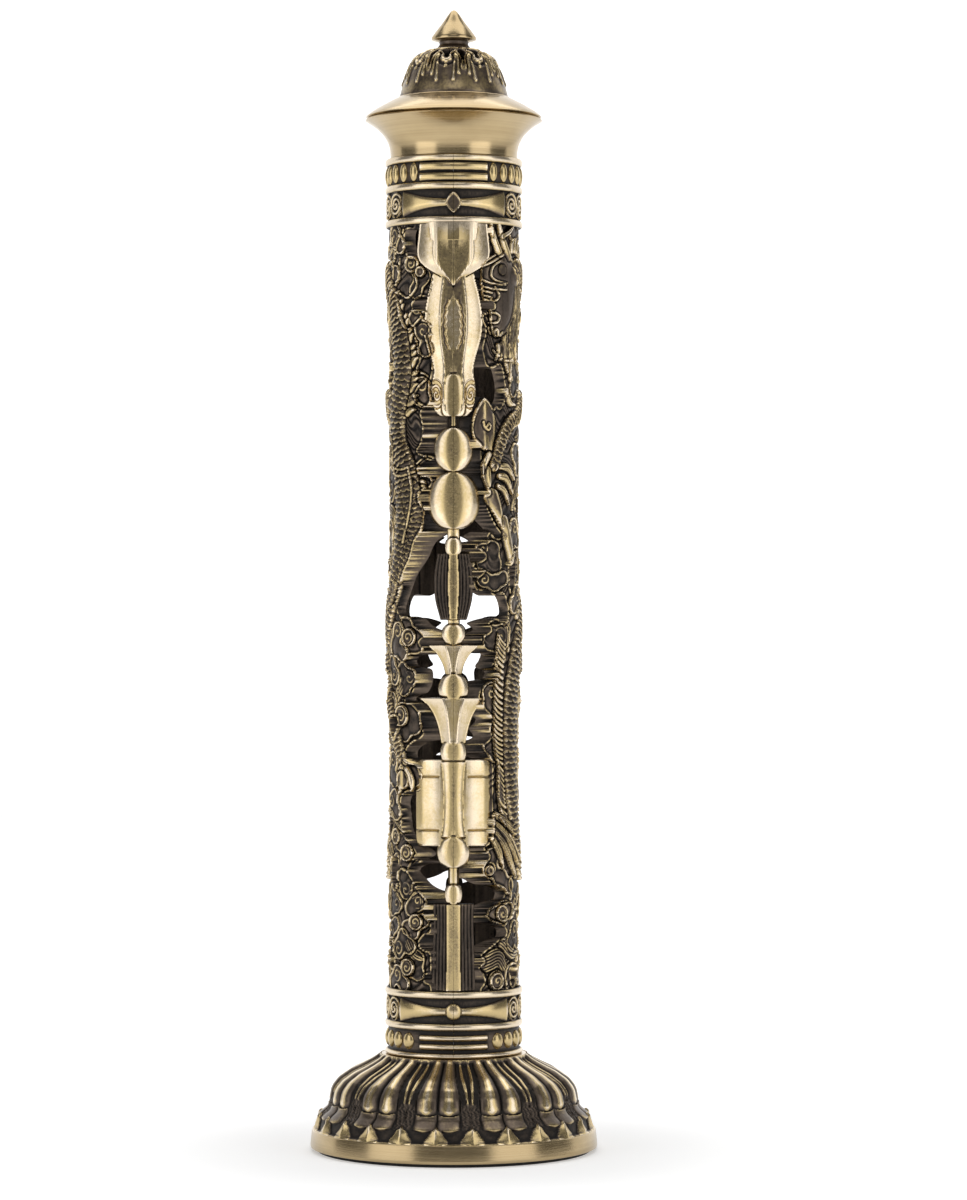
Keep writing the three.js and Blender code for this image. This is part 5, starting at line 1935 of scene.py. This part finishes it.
        ends = (spots[:, 0] < 1e-6) | (spots[:, 0] > relief.metal.shape[0] - 1 - 1e-6)
        open_side = ends[border[:, 0]] & ends[border[:, 1]]
        soft = sampled(relief.radius - soften(relief.radius, 4), spots)
        # Painted highlight: the lower part of the dome is made a little lighter.
        low = 0.05 * ramp(way / length[-1], 0.5, 0.25)
        wear_and_painted_light = np.concatenate([np.clip(0.47 + 1.6 * soft + low, 0, 1), np.full(len(spots), 0.05)])
        return thick(at(high), at(-self.wall), faces, border[~open_side], wear_and_painted_light)


# The inner pieces


def stick_cup() -> Skin:
    """Builds the stick holder: flange, stem and blind bore."""
    corners = [
        (0, 15.4), (2.1, 15.4), (2.1, 17.0), (7.2, 17.0, 0.2), (7.2, 18.5, 0.4), (4.2, 18.7, 0.4),
        (3.6, 20.0, 0.5), (3.6, 27.0, 1), (2.7, 31.0, 0.6), (2.6, 31.4, 0.2), (1.4, 31.4, 0.2), (1.4, 21.9),
        (0, 21.9),
    ]
    return turned(filleted(corners), 64, 0.8)


def cup_screw() -> Skin:
    """Builds the holder's screw, its head below."""
    corners = [
        (0, 4.3), (1.6, 4.3), (1.6, 3.55), (3.3, 3.5, 0.2), (3.6, 3.9, 0.3), (3.6, 5.7), (1.7, 5.7),
        (1.7, 15.2, 0.3), (0, 15.3),
    ]
    return turned(filleted(corners), 64, 0.8)


def sleeve_ring() -> Skin:
    """Builds the sleeve that joins the lower ends of the two halves."""
    corners = [(11.3, 21.35, 0.15), (12.2, 21.35, 0.15), (12.2, 35.6, 0.2), (11.3, 35.6, 0.2)]
    return turned(filleted(corners), 128, 0.8)


def felt_pad() -> Skin:
    """Builds the felt pad under the foot."""
    return turned(filleted([(0, 0), (30.0, 0, 0.1), (30.0, 0.8, 0.1), (0, 0.8)]), 128, 0.5)


# Materials


class Value:
    """A number inside a shader tree, with arithmetic of its own."""

    def __init__(self, tree: NodeTree, socket: NodeSocket) -> None:
        """Wraps a socket of a tree."""
        self.tree = tree
        self.socket = socket

    def math(self, operation: str, *others: "Value | float", swap: bool = False) -> "Value":
        """Adds a Math node.

        Args:
            operation: Its operation.
            others: The other numbers.
            swap: Whether this number is the second one.

        Returns:
            The result.
        """
        inputs = [self, *others]
        if swap:
            inputs.reverse()
        node = wired(self.tree, "ShaderNodeMath", dict(enumerate(inputs)), operation=operation)
        return Value(self.tree, node.outputs[0])

    def __add__(self, other: "Value | float") -> "Value":
        """Adds."""
        return self.math("ADD", other)

    __radd__ = __add__

    def __sub__(self, other: "Value | float") -> "Value":
        """Subtracts."""
        return self.math("SUBTRACT", other)

    def __rsub__(self, other: float) -> "Value":
        """Subtracts from a number."""
        return self.math("SUBTRACT", other, swap=True)

    def __mul__(self, other: "Value | float") -> "Value":
        """Multiplies."""
        return self.math("MULTIPLY", other)

    __rmul__ = __mul__

    def clear(self, low: float, high: float) -> "Value":
        """Gives a smooth step from 0 at low to 1 at high."""
        inputs = {"Value": self, "From Min": low, "From Max": high}
        node = wired(self.tree, "ShaderNodeMapRange", inputs, interpolation_type="SMOOTHSTEP")
        return Value(self.tree, node.outputs["Result"])


class ShaderTree:
    """The tree of one material, with the few nodes that the finishes share."""

    def __init__(self, name: str) -> None:
        """Starts a material with one Principled shader.

        Args:
            name: The material's name.
        """
        self.material = bpy.data.materials.new(name)
        self.material.use_nodes = True
        self.tree = self.material.node_tree
        self.shader = next(n for n in self.tree.nodes if n.type == "BSDF_PRINCIPLED")

    def node(self, kind: str, inputs: dict | None = None, **settings: object) -> Node:
        """Adds any other node to the material, as wired does."""
        return wired(self.tree, kind, inputs, **settings)

    def place(self, stretch: tuple = (1, 1, 1)) -> NodeSocket:
        """Gives the object's coordinates, stretched."""
        spot = self.node("ShaderNodeTexCoord").outputs["Object"]
        return self.node("ShaderNodeVectorMath", {0: spot, 1: stretch}, operation="MULTIPLY").outputs[0]

    def noise(self, scale: float, detail: float = 3, stretch: tuple = (1, 1, 1)) -> Value:
        """Gives noise around 0.5 whose features are about one over the scale, in metres."""
        inputs = {"Vector": self.place(stretch), "Scale": scale, "Detail": detail}
        return Value(self.tree, self.node("ShaderNodeTexNoise", inputs).outputs[0])

    def attribute(self, name: str) -> Value:
        """Gives a vertex attribute."""
        return Value(self.tree, self.node("ShaderNodeAttribute", attribute_name=name).outputs["Fac"])

    def mix(self, share: Value, start: object, end: object) -> NodeSocket:
        """Mixes two colours."""
        first, second = ((*colour, 1) if isinstance(colour, tuple) else colour for colour in (start, end))
        inputs = {"Factor": share, 6: first, 7: second}
        return self.node("ShaderNodeMix", inputs, data_type="RGBA").outputs[2]

    def set(self, **sockets: object) -> None:
        """Sets or links inputs of the shader, their names with underscores for spaces."""
        for key, value in sockets.items():
            feed(self.tree, self.shader.inputs[key.replace("_", " ")], value)

    def bump(self, height: Value, distance: float) -> None:
        """Roughens the surface by a height in units of the distance, in millimetres."""
        node = self.node("ShaderNodeBump", {"Height": height, "Distance": distance * MM})
        self.set(Normal=node.outputs[0])


@dataclass(frozen=True)
class CastFinish:
    """Cast bronze: dark oxide in the recesses, rubbed bright on the ridges, and the painted shade and
    highlights that some pieces carry in their vertex attribute.
    """

    name: str
    recess: tuple
    body: tuple
    gold: tuple
    ridge: tuple
    recess_rough: float = 0.55
    ridge_rough: float = 0.24
    pitting: float = 0.05

    def build(self) -> Material:
        """Builds the material.

        Returns:
            The material.
        """
        tree = ShaderTree(self.name)
        blotch = tree.noise(260, 4)
        grain = tree.noise(1900, 3)
        wear_and_painted_light = tree.attribute(WEAR_AND_PAINTED_LIGHT) + 0.26 * (blotch - 0.5) + 0.2 * (grain - 0.5)
        low, high = wear_and_painted_light.clear(0.06, 0.44), wear_and_painted_light.clear(0.42, 0.68)
        colour = tree.mix(high, tree.mix(low, self.recess, self.body), self.gold)
        colour = tree.mix(wear_and_painted_light.clear(0.72, 0.94), colour, self.ridge)
        rough = self.recess_rough + (self.ridge_rough - self.recess_rough) * wear_and_painted_light.clear(0.1, 0.7)
        tree.set(Base_Color=colour, Roughness=rough + 0.14 * (grain - 0.5), Metallic=0.6 + 0.4 * low)
        tree.bump((grain + 0.8 * blotch) * (1.1 - high), self.pitting)
        return tree.material


@dataclass(frozen=True)
class BrushedFinish:
    """Turned metal, brushed round the axis."""

    name: str
    colour: tuple
    shade: tuple
    rough: float = 0.24
    streaks: float = 0.012

    def build(self) -> Material:
        """Builds the material.

        Returns:
            The material.
        """
        tree = ShaderTree(self.name)
        lines = tree.noise(30, 4, (1, 1, 90))
        fine = tree.noise(60, 3, (1, 1, 160))
        cloudy = tree.noise(150, 3)
        mixed = (0.6 * lines + 0.4 * cloudy).clear(0.3, 0.7)
        tree.set(Base_Color=tree.mix(mixed, self.shade, self.colour), Metallic=1.0)
        tree.set(Roughness=self.rough + 0.16 * (lines - 0.5) + 0.1 * (cloudy - 0.5))
        tree.bump(lines + fine, self.streaks)
        return tree.material


@dataclass(frozen=True)
class PlainFinish:
    """A plain matt or metal finish with a little unevenness."""

    name: str
    colour: tuple
    shade: tuple
    metal: float
    rough: float
    grain: float = 0.01

    def build(self) -> Material:
        """Builds the material.

        Returns:
            The material.
        """
        tree = ShaderTree(self.name)
        speck = tree.noise(3000, 2)
        tree.set(Base_Color=tree.mix(speck, self.shade, self.colour), Metallic=self.metal)
        tree.set(Roughness=self.rough + 0.1 * (speck - 0.5))
        tree.bump(speck, self.grain)
        return tree.material


FINISHES = {
    Slot.CAST: CastFinish(
        "cast_bronze_finish",
        recess=(0.012, 0.009, 0.007), body=(0.12, 0.093, 0.072), gold=(0.5, 0.385, 0.195),
        ridge=(0.69, 0.58, 0.43),
    ),
    Slot.BRIGHT: BrushedFinish(
        "bright_bronze_finish", (0.45, 0.345, 0.195), (0.38, 0.285, 0.155), rough=0.2, streaks=0.008
    ),
    Slot.BRASS: BrushedFinish("brass_finish", (0.6, 0.45, 0.21), (0.45, 0.33, 0.14)),
    Slot.STEEL: PlainFinish("steel_finish", (0.55, 0.55, 0.56), (0.42, 0.42, 0.44), 1.0, 0.32),
    Slot.FELT: PlainFinish("felt_finish", (0.035, 0.035, 0.037), (0.02, 0.02, 0.022), 0.0, 0.95, 0.3),
}


# Studio


@dataclass(frozen=True)
class Softbox:
    """A soft area light that stands round the object and faces it."""

    name: str
    azimuth: float
    height: float
    distance: float
    width: float
    tall: float
    radiance: float
    tilt: float = 0.0

    def build(self) -> None:
        """Makes the light, its azimuth counted from the camera's side to the right and its tilt downward."""
        lamp = bpy.data.lights.new(self.name, "AREA")
        lamp.shape = "RECTANGLE"
        lamp.size, lamp.size_y = self.width, self.tall
        lamp.energy = self.radiance * math.pi * self.width * self.tall
        box = linked(self.name, lamp)
        turn = math.radians(self.azimuth)
        box.location = (self.distance * math.sin(turn), -self.distance * math.cos(turn), self.height)
        box.rotation_euler = (math.radians(90 - self.tilt), 0, turn)


SOFTBOXES = (
    Softbox("key_left", -51, 0.2, 0.8, 0.56, 1.0, 1.4),
    Softbox("key_right", 49, 0.2, 0.8, 0.56, 1.0, 1.4),
    Softbox("front_top", 0, 0.8, 0.75, 0.5, 0.35, 1.2, 42),
    Softbox("overhead", 180, 1.0, 0.3, 1.0, 0.9, 1.8, 90),
)


@dataclass
class Studio:
    """The floor, the backdrop, the world, the lights and the camera."""

    floor_colour: tuple = (0.8, 0.8, 0.8)
    world_level: float = 0.22
    # The floor's glow at the object, lower than far from it: a painted shadow pool.
    painted_shadow_lift: float = 0.37
    far_lift: float = 0.72
    backdrop_distance: float = 1.4
    camera_place: tuple = (0.0065, -0.9, 0.1205)
    lens: float = 123.0

    def build(self) -> None:
        """Builds the whole studio."""
        self.world()
        self.floor()
        for box in SOFTBOXES:
            box.build()
        self.camera()

    def world(self) -> None:
        """Builds the world: plain light for the object, white for the camera."""
        world = bpy.data.worlds.new("studio_world")
        bpy.context.scene.world = world
        world.use_nodes = True
        tree = world.node_tree
        tree.nodes.clear()
        seen = wired(tree, "ShaderNodeLightPath").outputs["Is Camera Ray"]
        level = wired(tree, "ShaderNodeMapRange", {"Value": seen, "To Min": self.world_level, "To Max": 1.0})
        light = wired(tree, "ShaderNodeBackground", {"Color": (1, 1, 1, 1), "Strength": level.outputs[0]})
        wired(tree, "ShaderNodeOutputWorld", {0: light.outputs[0]})

    def floor(self) -> None:
        """Builds the floor, and the backdrop that the metal's edges reflect."""
        wide = 4.0
        sheet = [(-wide, -wide, 0), (wide, -wide, 0), (wide, wide, 0), (-wide, wide, 0)]
        self.panel("floor", sheet, self.paper("floor_paper", self.painted_shadow_lift, self.far_lift))
        back = self.backdrop_distance
        wall = [(-wide, back, -0.01), (-wide, back, 2), (wide, back, 2), (wide, back, -0.01)]
        self.panel("backdrop", wall, self.paper("backdrop_paper", 1.0, 1.0))

    def paper(self, name: str, near: float, far: float) -> Material:
        """Builds plain paper that the camera and metal see lighter than it is lit.

        Args:
            name: The material's name.
            near: How much lighter at the object; less than far, so that a painted shadow pool lies round the
                object over its real shadow, which also stays.
            far: How much lighter far from it.

        Returns:
            The material.
        """
        paper = ShaderTree(name)
        path = paper.node("ShaderNodeLightPath")
        kinds = ("Camera", "Glossy", "Transmission")
        camera, glossy, through = (Value(paper.tree, path.outputs[f"Is {kind} Ray"]) for kind in kinds)
        seen = camera.math("MAXIMUM", glossy).math("MAXIMUM", through)
        paper.set(Base_Color=(*self.floor_colour, 1), Roughness=0.95, Specular_IOR_Level=0.0)
        # Painted shadow: the glow is weaker within about 0.12 m of the origin, so the floor is greyer round
        # the foot.
        reach = paper.node("ShaderNodeVectorMath", {0: paper.place()}, operation="LENGTH").outputs["Value"]
        glow_with_painted_shadow = paper.mix(Value(paper.tree, reach).clear(0.035, 0.12), (near,) * 3, (far,) * 3)
        paper.set(Emission_Color=glow_with_painted_shadow, Emission_Strength=seen)
        return paper.material

    def panel(self, name: str, corners: list, material: Material) -> None:
        """Adds a flat stage panel.

        Args:
            name: Its name.
            corners: Its corners, in metres.
            material: Its material.
        """
        data = bpy.data.meshes.new(name)
        data.from_pydata(corners, [], [(0, 1, 2, 3)])
        data.materials.append(material)
        linked(name, data)

    def camera(self) -> None:
        """Builds the camera at the photograph's height and distance."""
        data = bpy.data.cameras.new("photo_camera")
        data.lens, data.sensor_width = self.lens, 36.0
        camera = linked("photo_camera", data)
        camera.location = self.camera_place
        camera.rotation_euler = (math.radians(90), 0, 0)
        bpy.context.scene.camera = camera


# The burner


@dataclass
class Burner:
    """Builds all the pieces of the burner on the frame."""

    tube: TubeHalf = field(default_factory=TubeHalf)
    seam: SeamOrnament = field(default_factory=SeamOrnament)
    foot: LotusFoot = field(default_factory=LotusFoot)
    collar: Collar = field(default_factory=Collar)
    lid: Lid = field(default_factory=Lid)
    looks: dict = field(default_factory=dict)

    def build(self) -> None:
        """Builds every piece."""
        self.looks = {slot: finish.build() for slot, finish in FINISHES.items()}
        self.base()
        self.halves()
        self.bands()
        self.add("trumpet_collar", self.collar.skin(), Body.TUBE, Slot.BRIGHT, ["flared_collar"])
        self.add("sleeve_ring", sleeve_ring(), Body.TUBE, Slot.BRASS, ["lower_sleeve"])
        self.cover()

    def add(self, name: str, skin: Skin, body: Body, slot: Slot, replaces: Sequence[str] = ()) -> None:
        """Adds a piece from its skin."""
        add_piece(name, skin.mesh(name), body, self.looks[slot], replaces)

    def base(self) -> None:
        """Builds the pieces of the base."""
        self.add("pad_felt", felt_pad(), Body.BASE, Slot.FELT, ["felt_pad"])
        self.add("foot_body", self.foot.body(), Body.BASE, Slot.BRIGHT, ["lotus_base"])
        self.add("stick_cup", stick_cup(), Body.BASE, Slot.BRASS, ["stick_holder"])
        self.add("cup_screw", cup_screw(), Body.BASE, Slot.STEEL, ["holder_screw"])
        foot = self.foot
        cast = self.looks[Slot.CAST]
        ring = RoundRepeat("petals_round", foot.petals, foot.first_petal, 360 / foot.petals, 0.002)
        petals = ring.applied(foot.petal().mesh("petal"), cast)
        add_piece("foot_petals", petals, Body.BASE, cast, sharp=55)

    def halves(self) -> None:
        """Builds the openwork and the ornament of both halves."""
        relief = self.tube.carving.paint()
        right = self.tube.openwork(relief)
        Wear(relief).paint(right)
        add_pair("casting", right, self.looks[Slot.CAST], "tube_half", 50)
        relief = self.seam.paint()
        right = thinned(self.seam.skin(relief).mesh("seam"), self.seam.most)
        SeamWear(relief, level=0.84, fine=0.7, coarse=0.2, height=0.1, wall=0.3).paint(right)
        add_pair("seam", right, self.looks[Slot.CAST], sharp=35)

    def bands(self) -> None:
        """Builds the bands of both halves with their beads."""
        cast = self.looks[Slot.CAST]
        for band in (UPPER_BAND, LOWER_BAND):
            relief = band.paint()
            shape = thinned(band.skin(relief).mesh("band"), band.most)
            Wear(relief, level=0.63, fine=1.2, coarse=0.5, height=0.36, above=15.1).paint(shape)
            add_pair(band.name, shape, cast)
        beads = (
            ("upper_beads", Bead(213.25, 1.05, 2.15, 0.72), RoundRepeat("upper_round", 10, 36.5, 11.9)),
            ("lower_beads", Bead(24.85, 1.5, 1.85, 0.66), RoundRepeat("lower_round", 8, 41.5, 13.7)),
        )
        for name, bead, ring in beads:
            add_pair(name, ring.applied(bead.skin().mesh(name), cast), cast)

    def cover(self) -> None:
        """Builds the pieces of the lid."""
        self.add("flange_ring", self.lid.flange(), Body.LID, Slot.BRIGHT, ["lid_flange"])
        self.add("finial_cone", self.lid.finial(), Body.LID, Slot.BRIGHT, ["finial"])
        self.add("finial_neck", self.lid.neck(), Body.LID, Slot.CAST)
        lid = self.lid
        ring = RoundRepeat("dome_round", lid.lobes, lid.first_lobe, 360 / lid.lobes, 0.002)
        sector = lid.sector(lid.paint())
        cast = self.looks[Slot.CAST]
        dome = ring.applied(sector.mesh("dome_sector"), cast)
        add_piece("pierced_dome", dome, Body.LID, cast, ["dome_lid"], 50)


def dress_kept_nodes(frame: dict, looks: dict) -> None:
    """Gives the CAD nodes that stay in sight their finish.

    Args:
        frame: The loaded frame.
        looks: The materials by slot.
    """
    for name, node in frame["nodes"].items():
        if name.startswith("locating_pin") or name == "finial_nut":
            finish = Slot.STEEL if name.startswith("locating_pin") else Slot.BRASS
            for slot in node.material_slots:
                slot.material = looks[finish]


def main() -> None:
    """Builds the burner and the studio."""
    logging.basicConfig(level=logging.INFO, format="%(asctime)s %(name)s: %(message)s")
    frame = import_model()
    burner = Burner()
    burner.build()
    dress_kept_nodes(frame, burner.looks)
    Studio().build()
    scene = bpy.context.scene
    scene.view_settings.view_transform = "Standard"
    log.info("built")


if __name__ == "__main__":
    main()
